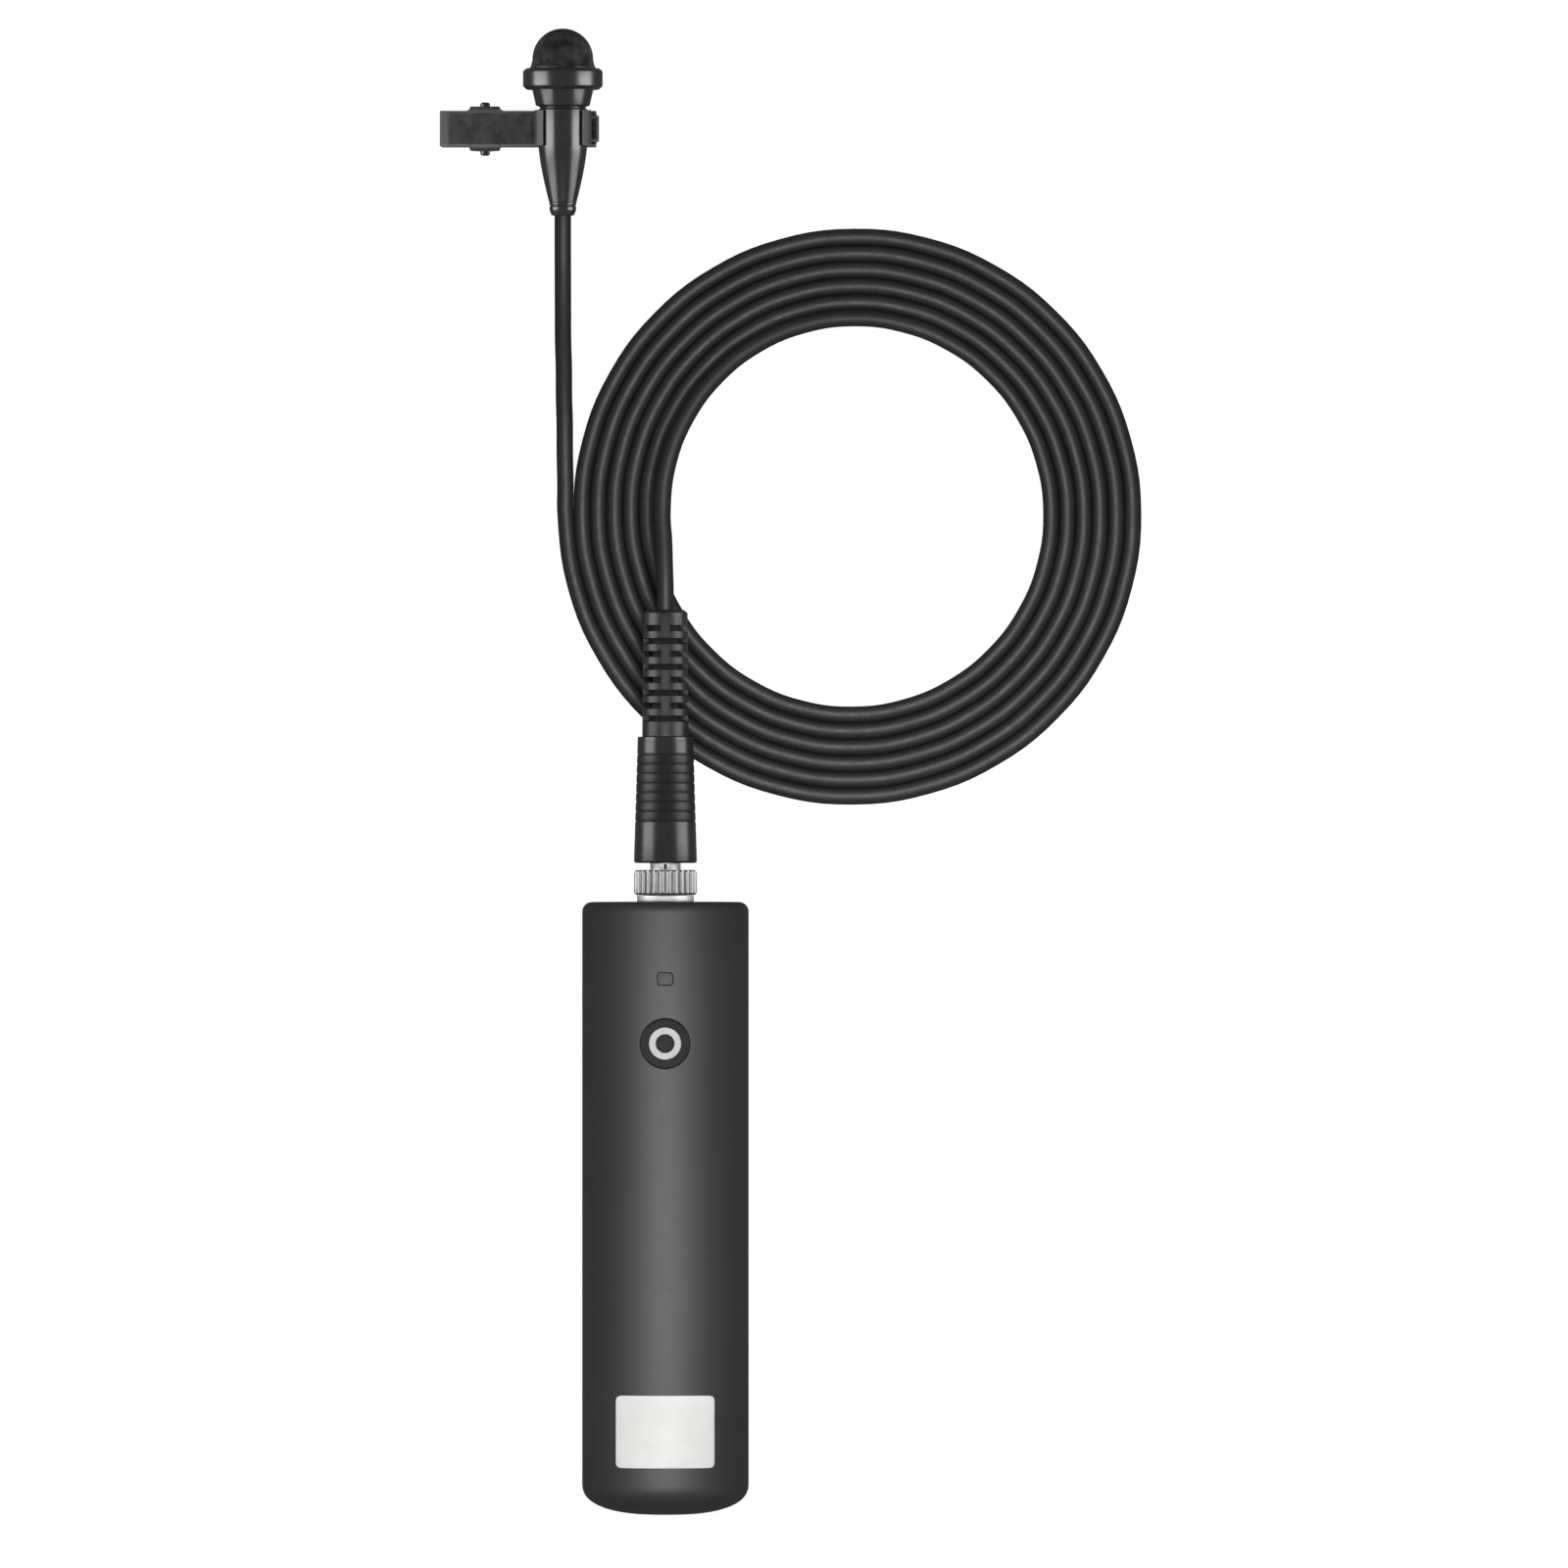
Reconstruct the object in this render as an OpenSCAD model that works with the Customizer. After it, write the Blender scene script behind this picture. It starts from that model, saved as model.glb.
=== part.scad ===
// Lavalier microphone with its coiled cable and a tubular pocket transmitter.
// It lies flat: +Z is up, +Y points from the transmitter to the microphone and
// +X from the microphone to the coil. All lengths are in millimetres. The origin
// is on the table, under the middle of the box round transmitter, microphone and
// clip. Inside the modules u and v count from the tube's axis and its top face.

/* [Transmitter tube] */
// Outside diameter of the tube
tube_d = 24; // [24:0.5:30]
// Length of the tube, from its top face to the crown of its base
tube_len = 88.3; // [88:0.1:110]
// Wall of both half shells
tube_wall = 1.2; // [0.9:0.1:1.2]
// Radius of the rounded edge round the top face
top_edge_r = 1.4; // [1:0.1:2.5]
// Height of the domed base
base_dome_h = 4.6; // [4:0.1:6]
// Roundness of the base: 2 is an ellipse, more is boxier
base_power = 2.5; // [2:0.1:3]

/* [Button and lamp] */
// Diameter of the power button
button_d = 7.2; // [6:0.1:8]
// Distance of the button from the top face
button_down = 20.3; // [20:0.1:24]
// How far the button travels
button_travel = 0.4; // [0.2:0.05:0.6]
// Outside diameter of the pale ring on the button
button_ring_d = 4.66; // [4:0.02:5]
// Width of that ring
button_ring_w = 1; // [0.6:0.05:1.2]
// Distance of the lamp's window from the top face
lamp_down = 11; // [9:0.1:12]
// Width of the lamp's window
lamp_w = 2.2; // [1.8:0.1:3]
// Length of the lamp's window
lamp_l = 1.8; // [1.4:0.1:2.4]

/* [Write-on panel] */
// Width of the panel, across the tube
panel_w = 14.3; // [10:0.1:16]
// Length of the panel, along the tube
panel_l = 10.5; // [6:0.1:11]
// Distance of the panel's middle from the top face
panel_down = 76.1; // [74:0.1:77]
// Thickness of the panel, let flush into the shell
panel_t = 0.12; // [0.1:0.02:0.3]

/* [Electronics] */
// Clearance between the cell and the shell below it or the board above it
cell_play = 0.3; // [0.2:0.05:0.6]
// Free length between the cell and its socket, for the leads
lead_room = 2.85; // [2:0.05:5]
// Width of the circuit board
board_w = 17; // [14:0.5:17]
// Thickness of the circuit board
board_t = 1.2; // [0.8:0.1:1.4]
// Width and height of the jack's insulating body
jack_body_w = 7.4; // [6.6:0.1:7.6]
// Number of contact springs in the jack
jack_springs = 3; // [2:1:3]

/* [Jack plug] */
// Diameter of the plug's pin
pin_d = 3.5; // [2.5:0.1:3.6]
// Length of the pin below the core's flange
pin_len = 14; // [12:0.1:14.5]
// Diameter of the core on which the lock ring turns
core_d = 4.4; // [4.2:0.1:4.8]
// Bare length of core between lock ring and sleeve
core_gap = 1; // [0.5:0.1:2]
// Diameter of the fluted lock ring
lock_ring_d = 9.1; // [8.6:0.1:11]
// Height of the fluted part of the lock ring
lock_ring_h = 3.6; // [3:0.1:6]
// Number of flutes round the lock ring
lock_ring_flutes = 30; // [16:1:36]
// Diameter of the lock ring's threaded nose
nose_d = 6; // [5.8:0.1:6.4]
// Length of the threaded nose
nose_len = 2.95; // [2:0.05:3.4]
// Diameter of the metal collar on the tube's top face
jack_collar_d = 8.2; // [7.6:0.1:9]
// Height of that collar
jack_collar_h = 0.95; // [0.5:0.05:2]
// Length of the grooved sleeve
sleeve_len = 18.2; // [17:0.1:22]
// Diameter of the sleeve at its lock ring end
sleeve_d = 9.1; // [8.4:0.1:11]
// Diameter of the sleeve at its boot end
sleeve_top_d = 8; // [7.6:0.1:10]
// Number of grooves round the sleeve
sleeve_grooves = 8; // [4:1:9]
// Diameter of the cable boot
boot_d = 6.7; // [6.4:0.1:7.4]
// Length of the cable boot that shows
boot_len = 18.3; // [17.5:0.1:24]
// Number of levels of slots in the boot
boot_levels = 8; // [4:1:8]
// Distance from one level of slots to the next
boot_pitch = 1.86; // [1.6:0.01:1.9]

/* [Microphone] */
// Radius of the wire mesh dome
dome_r = 4.4; // [4.2:0.1:4.6]
// Straight skirt below the dome
dome_skirt = 1.1; // [0.6:0.1:1.5]
// Diameter of the gloss collar
collar_d = 11.5; // [11:0.1:13]
// Height of the gloss collar
collar_h = 3.1; // [2.8:0.1:4]
// Length of the neck below the collar
neck_len = 2.6; // [2.2:0.1:4]
// Diameter of the straight body that the clip holds
body_d = 7; // [6.8:0.1:7.4]
// Length of the straight body
body_len = 5.8; // [5.6:0.1:9]
// Length of the taper behind the body
taper_len = 7.8; // [6:0.1:12]
// Diameter at the thin end of the taper
taper_d = 4; // [3.6:0.1:5]
// Length of the tail ring that the cable leaves
tail_len = 1.95; // [1.5:0.05:4]
// Diameter of the microphone capsule
capsule_d = 6; // [5:0.1:6]
// Length of the microphone capsule
capsule_len = 4; // [3:0.1:4.2]

/* [Clip] */
// Width of both jaws, along the microphone
jaw_w = 5.15; // [4.5:0.05:5.2]
// Thickness of the jaws' sheet
jaw_t = 0.7; // [0.5:0.05:0.9]
// Clear height between the jaws
jaw_gap = 3.85; // [3.6:0.05:5]
// Distance from the microphone's axis to the end of the levers
clip_reach = 17.9; // [17:0.1:22]
// Distance from the microphone's axis to the pivot pin
pivot_reach = 11.27; // [10:0.01:12]
// Distance from the microphone's axis to the tip of the jaws
tip_reach = 5.2; // [5:0.1:6.5]
// Diameter of the pivot pin
pivot_d = 1.4; // [1:0.1:1.6]
// Length of the pivot pin
pivot_len = 7.7; // [7:0.1:9]
// Wall of the spring cradle that holds the microphone
cradle_t = 0.59; // [0.4:0.01:0.8]
// Half of the cradle's open angle
cradle_open = 49; // [40:1:60]

/* [Cable] */
// Diameter of the cable
cable_d = 2.3; // [1.8:0.1:2.3]
// Number of turns in the flat coil
coil_turns = 6; // [3:1:6]
// Distance from one turn of the coil to the next
coil_pitch = 2.37; // [2.35:0.01:3]

/* [Layout on the table] */
// Distance across from the tube's axis to the microphone's axis
mic_across = 14.8; // [14.7:0.1:15]
// Distance from the tube's top face to the top of the mesh dome
mic_along = 125.9; // [125:0.1:130]

/* [Fits] */
// Clearance round a pin, shaft or nose that turns or slides
running = 0.05; // [0.03:0.01:0.08]
// Clearance between pieces that are only put together
seat = 0.1; // [0.05:0.01:0.15]

/* [Hidden] */
$fn = 48;
past = 1; // how far a cutter runs past what it cuts

// Places along v, from the tube's top face up to the dome and back to the cable
lock_v = jack_collar_h + running;
core_v = lock_v + lock_ring_h;
sleeve_v = core_v + core_gap;
boot_v = sleeve_v + sleeve_len;
cable_v = boot_v + boot_len;
dome_v = mic_along - dome_r;
skirt_v = dome_v - dome_skirt;
collar_v = skirt_v - 0.25;
neck_v = collar_v - collar_h;
body_v = neck_v - neck_len;
taper_v = body_v - body_len;
tail_v = taper_v - taper_len;
exit_v = tail_v - tail_len;
clip_v = (body_v + taper_v) / 2;

// Heights over the table
tube_r = tube_d / 2;
inner_r = tube_r - tube_wall;
cable_r = cable_d / 2;
lever_drop = 0.9;
lower_jaw_z = lever_drop + jaw_t;
upper_jaw_z = lower_jaw_z + jaw_gap;
pivot_z = (lower_jaw_z + upper_jaw_z) / 2;
cradle_ri = body_d / 2 + running;
cradle_ro = cradle_ri + cradle_t;
cradle_lift = 0.1;
mic_z = upper_jaw_z + jaw_t + cradle_lift + cradle_ro;

// Where the tube and the microphone lie in the part's own frame
span_x = clip_reach + mic_across + tube_r;
span_y = mic_along + tube_len;
tube_x = span_x / 2 - tube_r;
top_y = tube_len - span_y / 2;
mic_x = tube_x - mic_across;

// Sizes that several pieces of the transmitter share
bush_r = 3.65;
bush_v = -3;
bush_bore_r = nose_d / 2 + 2 * running;
jack_nut_d = 10.4;
flange_t = 0.5;
flange_v = lock_v - nose_len + seat;
flange_r = core_d / 2 + 0.35;
pin_r = pin_d / 2;
pin_v = flange_v - flange_t;
tip_v = pin_v - pin_len;
jack_bore_r = pin_r + running;
jack_end_v = tip_v - 1.7;
board_z = tube_r + jack_body_w / 2 + seat;
board_top_z = board_z + board_t;
board_start_v = -5;
board_neck_v = 15.3 - tube_len;
board_end_v = 2.4 - tube_len;
board_neck_w = 8.8;
cell_r = (board_z - tube_wall) / 2 - cell_play;
cell_z = tube_wall + cell_play + cell_r;
socket_v = board_neck_v + 2;
socket_len = 3;
cell_v = jack_end_v - 0.6;
cell_end_v = socket_v + lead_room;
cell_len = cell_v - cell_end_v;
cell_cap_h = 1;
shield_w = 12;
shield_h = 1.8;
shield_t = 0.2;
shield_v = board_start_v - 25;
shield_end_v = shield_v - 16;
chip_h = 0.9;
boss_r = 1.7;
screw_r = 0.8;
screw_head_r = 1.5;
screw_head_z = 3;
screw_len = 11;
screw_u = 6.4;
screw_v = 12.8 - tube_len;
usb_w = 8.94;
usb_h = 3.2;
usb_wall = 0.3;
usb_z = board_z - usb_h / 2;
usb_v = 0.7 - tube_len;
usb_len = 7.6;
button_r = button_d / 2;
button_flange_r = button_r + 0.6;
button_flange_t = 0.6;
button_flange_z = tube_r + sqrt(pow(inner_r, 2) - pow(button_flange_r, 2)) - 0.2;
button_top_z = tube_r + sqrt(pow(tube_r, 2) - pow(button_r, 2)) + 0.15;
button_groove = 0.3;
switch_w = 4.6;
switch_h = 1.6;
plunger_r = 0.9;
plunger_h = 0.5;
lamp_stem_r = 0.8;
diode_h = 0.6;

// Sizes that several pieces of the microphone share
grille_t = 0.3;
grille_foot_r = dome_r + 0.32;
grille_seat_v = collar_v - 1.25;
spigot_r = dome_r + 0.05;
gasket_t = 0.4;
capsule_r = capsule_d / 2;
can_t = 0.2;
can_v = neck_v + 2.5;
can_base_v = can_v - capsule_len;
capsule_in_r = capsule_r - can_t;
capsule_board_t = 0.4;
diaphragm_t = 0.15;
backplate_t = 0.25;
backplate_v = can_v - can_t - diaphragm_t;
mic_bore_r = 1.3;
tail_r = taper_d / 2 - 0.05;
wire_r = 0.3;

module at_tube() translate([tube_x, top_y, 0]) children();
module on_tube_axis() translate([tube_x, top_y, tube_r]) rotate([-90, 0, 0]) children();
module on_mic_axis() translate([mic_x, top_y, mic_z]) rotate([-90, 0, 0]) children();
module at_clip() translate([mic_x, top_y + clip_v, 0]) children();

// A disc or a ring on the v axis, from one place to another
module disc(r, from, to) translate([0, 0, from]) cylinder(r = r, h = to - from);
module ring(r_out, r_in, from, to) difference() {
    disc(r_out, from, to);
    disc(r_in, from - past, to + past);
}

// A block given by its width, its two ends along v, its two heights and its middle
module block(w, from, to, low, high, u = 0)
    translate([u - w / 2, from, low]) cube([w, to - from, high - low]);

// A round rod from point a to point b
module rod(a, b, r) {
    way = b - a;
    l = norm(way);
    translate(a) rotate([0, acos(way[2] / l), atan2(way[1], way[0])]) cylinder(r = r, h = l);
}

// ---- Transmitter ----

// Outline of the tube for turning: flat top, round edge, base curved as a superellipse
function edge_arc(r, e, top) =
    [for (a = [90 : -15 : 0]) [r - e + e * cos(a), top - e + e * sin(a)]];
function base_arc(r, h, foot) = [
    for (a = [0 : 7.5 : 90])
        [r * pow(cos(a), 2 / base_power), foot - h * pow(sin(a), 2 / base_power)]
];
module tube_body(inset) rotate_extrude($fn = 96) polygon(concat(
    [[0, -inset]],
    edge_arc(tube_r - inset, top_edge_r - inset / 2, -inset),
    base_arc(tube_r - inset, base_dome_h - inset, base_dome_h - tube_len)
));

// The mouth of the charging port, drawn along v
module port_prism(grow, from, to) translate([0, from, usb_z]) rotate([-90, 0, 0])
    linear_extrude(to - from) {
        square([usb_w - usb_h, usb_h + 2 * grow], center = true);
        for (s = [-1, 1]) translate([s * (usb_w - usb_h) / 2, 0]) circle(usb_h / 2 + grow);
    }

// The outline of the write-on panel, drawn upwards
module panel_prism(grow) {
    w = panel_w + 2 * grow;
    l = panel_l + 2 * grow;
    corner = 1.2;
    translate([0, -panel_down, tube_r]) linear_extrude(tube_d) {
        square([w - 2 * corner, l], center = true);
        square([w, l - 2 * corner], center = true);
        for (x = [-1, 1], y = [-1, 1])
            translate([x * (w / 2 - corner), y * (l / 2 - corner)]) circle(corner);
    }
}

// One half of the tube between two heights, open for the jack and the charging port
module half_tube(low, high) difference() {
    intersection() {
        on_tube_axis() difference() {
            tube_body(0);
            tube_body(tube_wall);
        }
        at_tube() block(tube_d + 2 * past, -tube_len - past, past, low, high);
    }
    on_tube_axis() disc(bush_r + seat, -tube_wall - past, past);
    at_tube() port_prism(0.25, -tube_len - past, usb_v + 2 * past);
}

// How far the tube's inner wall is from its axis plane, beside the axis by u
function inner_rise(u) = sqrt(pow(inner_r, 2) - pow(u, 2));

module front_shell() color("#3d3d3f") {
    difference() {
        half_tube(tube_r, tube_d + past);
        at_tube() translate([0, -button_down, tube_r + past])
            cylinder(r = button_r + running, h = tube_r);
        at_tube() block(lamp_w + 2 * running, -lamp_down - lamp_l / 2 - running,
            -lamp_down + lamp_l / 2 + running, tube_r + past, tube_d + past);
        intersection() {
            at_tube() panel_prism(running);
            on_tube_axis() ring(tube_r + past, tube_r - panel_t, -tube_len, 0);
        }
    }
    // Bosses that the case screws bite into
    for (s = [-1, 1]) at_tube() translate([s * screw_u, screw_v, tube_r]) difference() {
        cylinder(r = boss_r, h = inner_rise(screw_u) + tube_wall / 3);
        translate([0, 0, -past]) cylinder(r = screw_r + seat / 2, h = screw_len - 5);
    }
}

// Two ribs that cradle the cell
module cell_ribs() at_tube() for (v = [cell_v - 6, cell_end_v + 6]) difference() {
    block(tube_d, v - 0.6, v + 0.6, 0, cell_z - cell_r / 2);
    translate([0, v + past, cell_z]) rotate([90, 0, 0]) cylinder(r = cell_r + seat, h = 2 * past);
}

module rear_shell() color("#39393b") difference() {
    union() {
        half_tube(-past, tube_r);
        intersection() {
            on_tube_axis() tube_body(tube_wall / 2);
            union() {
                cell_ribs();
                for (s = [-1, 1]) at_tube() translate([s * screw_u, screw_v, 0])
                    cylinder(r = boss_r + screw_head_r / 2, h = tube_r);
            }
        }
    }
    for (s = [-1, 1]) at_tube() translate([s * screw_u, screw_v, -past]) {
        cylinder(r = screw_r + seat, h = tube_r + 2 * past);
        cylinder(r = screw_head_r + seat, h = screw_head_z + 1 + past);
    }
}

module case_screws() color("#8b8d90") for (s = [-1, 1])
    at_tube() translate([s * screw_u, screw_v, screw_head_z]) difference() {
        union() {
            cylinder(r = screw_head_r, h = 1);
            cylinder(r = screw_r, h = screw_len);
        }
        // Cross recess for the driver
        for (a = [0, 90]) rotate(a) translate([-0.8, -0.2, -past]) cube([1.6, 0.4, past + 0.5]);
    }

module write_on_panel() color("#dcdcda") intersection() {
    at_tube() panel_prism(0);
    on_tube_axis() ring(tube_r, tube_r - panel_t, -tube_len, 0);
}

module button_cap() color("#232325") at_tube() translate([0, -button_down, 0]) difference() {
    union() {
        translate([0, 0, button_flange_z])
            cylinder(r = button_r, h = button_top_z - button_flange_z);
        translate([0, 0, button_flange_z - button_flange_t])
            cylinder(r = button_flange_r, h = button_flange_t);
        translate([0, 0, board_top_z + switch_h + plunger_h + button_travel + running])
            cylinder(r = 1.4, h = button_flange_z - board_top_z - switch_h - plunger_h - 1);
    }
    translate([0, 0, button_top_z - button_groove]) difference() {
        cylinder(d = button_ring_d + running, h = past);
        cylinder(d = button_ring_d - 2 * button_ring_w - running, h = past);
    }
}

module button_ring() color("#d8dadb")
    at_tube() translate([0, -button_down, button_top_z - button_groove]) difference() {
        cylinder(d = button_ring_d, h = button_groove);
        translate([0, 0, -past])
            cylinder(d = button_ring_d - 2 * button_ring_w, h = button_groove + 2 * past);
    }

module button_switch() color("#1d1d20") at_tube() translate([0, -button_down, board_top_z]) {
    translate([-switch_w / 2, -switch_w / 2, 0]) cube([switch_w, switch_w, switch_h]);
    cylinder(r = plunger_r, h = switch_h + plunger_h);
}

module lamp_window() color("#2c3430") at_tube() {
    intersection() {
        block(lamp_w, -lamp_down - lamp_l / 2, -lamp_down + lamp_l / 2,
            tube_r + inner_r - 0.4, tube_d);
        translate([0, 0, tube_r]) rotate([90, 0, 0])
            cylinder(r = tube_r, h = tube_len);
    }
    translate([0, -lamp_down, board_top_z + diode_h + seat])
        cylinder(r = lamp_stem_r, h = tube_r + inner_r - 0.2 - board_top_z - diode_h - seat);
}

module lamp_diode() color("#e8e4c8") at_tube()
    block(1.6, -lamp_down - 0.4, -lamp_down + 0.4, board_top_z, board_top_z + diode_h);

module main_board() color("#1f5136") at_tube() {
    block(board_w, board_neck_v, board_start_v, board_z, board_top_z);
    block(board_neck_w, board_end_v, board_neck_v, board_z, board_top_z);
}

module radio_shield() color("#a9abad") at_tube() difference() {
    block(shield_w, shield_end_v, shield_v, board_top_z, board_top_z + shield_h);
    block(shield_w - 2 * shield_t, shield_end_v + shield_t, shield_v - shield_t,
        board_top_z - past, board_top_z + shield_h - shield_t);
}

// A chip on the board: its width, its length, how far it is from a place, and across
module chip(w, l, from, down, h = chip_h, u = 0)
    block(w, from - down - l, from - down, board_top_z, board_top_z + h, u);

module board_chips() color("#1b1b1d") at_tube() {
    chip(5, 5, shield_v, 5);
    chip(4, 4, shield_end_v, 2.5);
    chip(3, 3.2, shield_end_v, 8.8);
    for (k = [0 : 4]) chip(1, 0.6, shield_end_v, 9.4 + 2 * k, chip_h / 2, -4);
}

module antenna() color("#d9cfb4") at_tube()
    chip(3.2, 10, board_neck_v, -12, 1.2, 5);

module cell() color("#355f8c") at_tube() translate([0, cell_v, cell_z]) rotate([90, 0, 0]) {
    cylinder(r = cell_r, h = cell_len - cell_cap_h);
    cylinder(r = 2.4, h = cell_len);
}

module cell_leads() color("#a8322c") at_tube() for (s = [-0.8, 0.8])
    rod([s, cell_end_v - 0.2, cell_z + 3.2], [s, socket_v + seat, board_z - 0.9], wire_r);

module cell_socket() color("#e6e0cf") at_tube()
    block(4.2, socket_v - socket_len, socket_v, board_z - 1.8, board_z);

module usb_shell() color("#b4b6b9") at_tube() difference() {
    port_prism(0, usb_v, usb_v + usb_len);
    port_prism(-usb_wall, usb_v - past, usb_v + usb_len - 1);
}

module usb_tongue() color("#202022") at_tube()
    block(6.7, usb_v + 0.6, usb_v + usb_len - 1, usb_z - 0.35, usb_z + 0.35);

module jack_collar() color("#c2c5c8") on_tube_axis() difference() {
    union() {
        disc(jack_collar_d / 2, 0, jack_collar_h);
        disc(bush_r, bush_v, seat);
    }
    disc(bush_bore_r, bush_v - past, jack_collar_h + past);
}

module jack_nut() color("#b9a86e") on_tube_axis() difference() {
    translate([0, 0, -tube_wall - 1.5]) rotate(30) cylinder(d = jack_nut_d, h = 1.5, $fn = 6);
    disc(bush_r + running, -tube_wall - 1.5 - past, past);
}

module jack_body() color("#232326") on_tube_axis() difference() {
    translate([-jack_body_w / 2, -jack_body_w / 2, jack_end_v])
        cube([jack_body_w, jack_body_w, bush_v - jack_end_v]);
    disc(jack_bore_r, tip_v - 0.7, bush_v + past);
    // Windows that the contact springs lie in
    for (k = [0 : jack_springs - 1]) spring_place(k)
        translate([-0.6, jack_bore_r - 0.4, -1.2]) cube([1.2, jack_body_w, 2.4]);
}

// Each contact spring sits further down the bore and a quarter of a turn on
module spring_place(k) translate([0, 0, pin_v - 3.4 - 4.2 * k]) rotate(90 * k + 90) children();

module jack_contacts() color("#c9a44c") on_tube_axis() for (k = [0 : jack_springs - 1])
    spring_place(k) {
        translate([-0.5, pin_r + running, -1]) cube([1, 0.25, 2]);
        translate([-0.5, pin_r + running, -1]) cube([1, jack_body_w / 2 - pin_r, 0.3]);
    }

// ---- Plug ----

// Profile of the lock ring: fluted rim above, plain threaded nose below
module lock_ring() color("#c6c9cc") on_tube_axis() difference() {
    union() {
        rotate_extrude() polygon([
            [0, lock_v], [lock_ring_d / 2 - 0.3, lock_v], [lock_ring_d / 2, lock_v + 0.3],
            [lock_ring_d / 2, core_v - 0.3], [lock_ring_d / 2 - 0.3, core_v], [0, core_v]
        ]);
        disc(nose_d / 2, lock_v - nose_len, lock_v + past);
    }
    disc(core_d / 2 + running, lock_v - nose_len - past, core_v + past);
    disc(flange_r + running, lock_v - nose_len - past, flange_v + running);
    for (k = [0 : lock_ring_flutes - 1]) rotate(360 * k / lock_ring_flutes)
        translate([lock_ring_d / 2 + 0.12, 0, lock_v - past])
            cylinder(r = 0.32, h = lock_ring_h + 2 * past, $fn = 16);
}

// Sizes that the plug's pieces share
solder_v = sleeve_v + 4;
boot_spigot = 5.5;
spigot_v = boot_v - boot_spigot;
crimp_v = spigot_v - 5;
sleeve_floor = 1.2;
sleeve_bore_r = 3;
tip_len = 3.6;
insulator_len = 0.7;
plug_ring_len = 2.3;
ring_v = tip_v + tip_len + insulator_len;
sleeve_contact_v = ring_v + plug_ring_len + insulator_len;

module plug_core() color("#c6c9cc") on_tube_axis() {
    disc(pin_r, sleeve_contact_v, flange_v);
    disc(flange_r, pin_v, flange_v);
    disc(core_d / 2, flange_v, solder_v);
    disc(sleeve_bore_r - seat, sleeve_v + sleeve_floor, solder_v);
}

module plug_ring() color("#c6c9cc") on_tube_axis() disc(pin_r, ring_v, ring_v + plug_ring_len);

module plug_tip() color("#c6c9cc") on_tube_axis() rotate_extrude() polygon([
    [0, tip_v], [0.35, tip_v], [pin_r - 0.15, tip_v + 1.6], [pin_r - 0.45, tip_v + 2.5],
    [pin_r, tip_v + 3.1], [pin_r, tip_v + tip_len], [0, tip_v + tip_len]
]);

module plug_insulators() color("#1c1c1e") on_tube_axis()
    for (v = [tip_v + tip_len, ring_v + plug_ring_len]) disc(pin_r, v, v + insulator_len);

module plug_wires() color("#b03a34") on_tube_axis() for (a = [0, 120, 240]) rotate(a)
    translate([0.8, 0, 0]) disc(wire_r, solder_v, spigot_v);

module cable_crimp() color("#b99b55") on_tube_axis()
    ring(2, 1.35, crimp_v, spigot_v);

// The sleeve widens towards the lock ring and is cut by fine grooves
groove_pitch = 1.37;
groove_w = 0.5;
groove_depth = 0.28;
groove_v = boot_v - 2.4;
function sleeve_r_at(v) =
    (sleeve_d + (sleeve_top_d - sleeve_d) * (v - sleeve_v) / sleeve_len) / 2;
function groove_points(v) = [
    [sleeve_r_at(v), v], [sleeve_r_at(v) - groove_depth, v - 0.1],
    [sleeve_r_at(v) - groove_depth, v - groove_w + 0.1],
    [sleeve_r_at(v - groove_w), v - groove_w]
];
module plug_sleeve() color("#1b1b1c") on_tube_axis() difference() {
    rotate_extrude() polygon(concat(
        [[0, boot_v], [sleeve_top_d / 2 - 0.3, boot_v], [sleeve_top_d / 2, boot_v - 0.3]],
        [for (k = [0 : sleeve_grooves - 1]) each groove_points(groove_v - k * groove_pitch)],
        [[sleeve_d / 2, sleeve_v + 0.3], [sleeve_d / 2 - 0.3, sleeve_v], [0, sleeve_v]]
    ));
    disc(core_d / 2 + running, sleeve_v - past, sleeve_v + 2 * past);
    disc(sleeve_bore_r, sleeve_v + sleeve_floor, boot_v + past);
}

// Slots go round the boot in levels; each level's bridges stand a quarter turn on
boot_core_r = 1.9;
slot_h = 0.85;
slot_bridge = 1.5;
slot_v = cable_v - 3.1;
module boot_slot(k) translate([0, 0, slot_v - k * boot_pitch]) rotate(90 * k) difference() {
    cylinder(r = boot_d, h = slot_h);
    translate([0, 0, -past]) cylinder(r = boot_core_r, h = slot_h + 2 * past);
    translate([-slot_bridge / 2, -2 * boot_d, -past])
        cube([slot_bridge, 4 * boot_d, slot_h + 2 * past]);
}
module cable_boot() color("#1d1d1e") on_tube_axis() difference() {
    union() {
        rotate_extrude() polygon([
            [0, boot_v], [boot_d / 2, boot_v], [boot_d / 2 - 0.15, cable_v - 0.5],
            [boot_d / 2 - 0.7, cable_v], [0, cable_v]
        ]);
        disc(sleeve_bore_r - running, spigot_v, boot_v);
    }
    for (k = [0 : boot_levels - 1]) boot_slot(k);
}

// ---- Cable ----

// Middle of the coil and the radius at which its outermost turn starts, on the left
coil_u = 27.1;
coil_v = 56.2;
coil_r = 41.6;

// From the microphone down to the table, then straight to the coil: u, v, height
lead_route = [
    [-mic_across, exit_v, mic_z], [-mic_across, exit_v - 2, mic_z], [-14.8, 93, 10],
    [-14.8, 89, 9], [-14.8, 85, 7.6], [-14.8, 81, 5.9], [-14.7, 77, 4.2],
    [-14.7, 73, 2.8], [-14.6, 69, 1.8], [-14.6, 65, 1.3], [-14.5, 60, 1.15]
];
// From the coil up into the boot
tail_route = [
    [-0.2, 52, 10.9], [-0.1, 48.5, 11.6], [0, 45, tube_r], [0, cable_v, tube_r]
];

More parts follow.
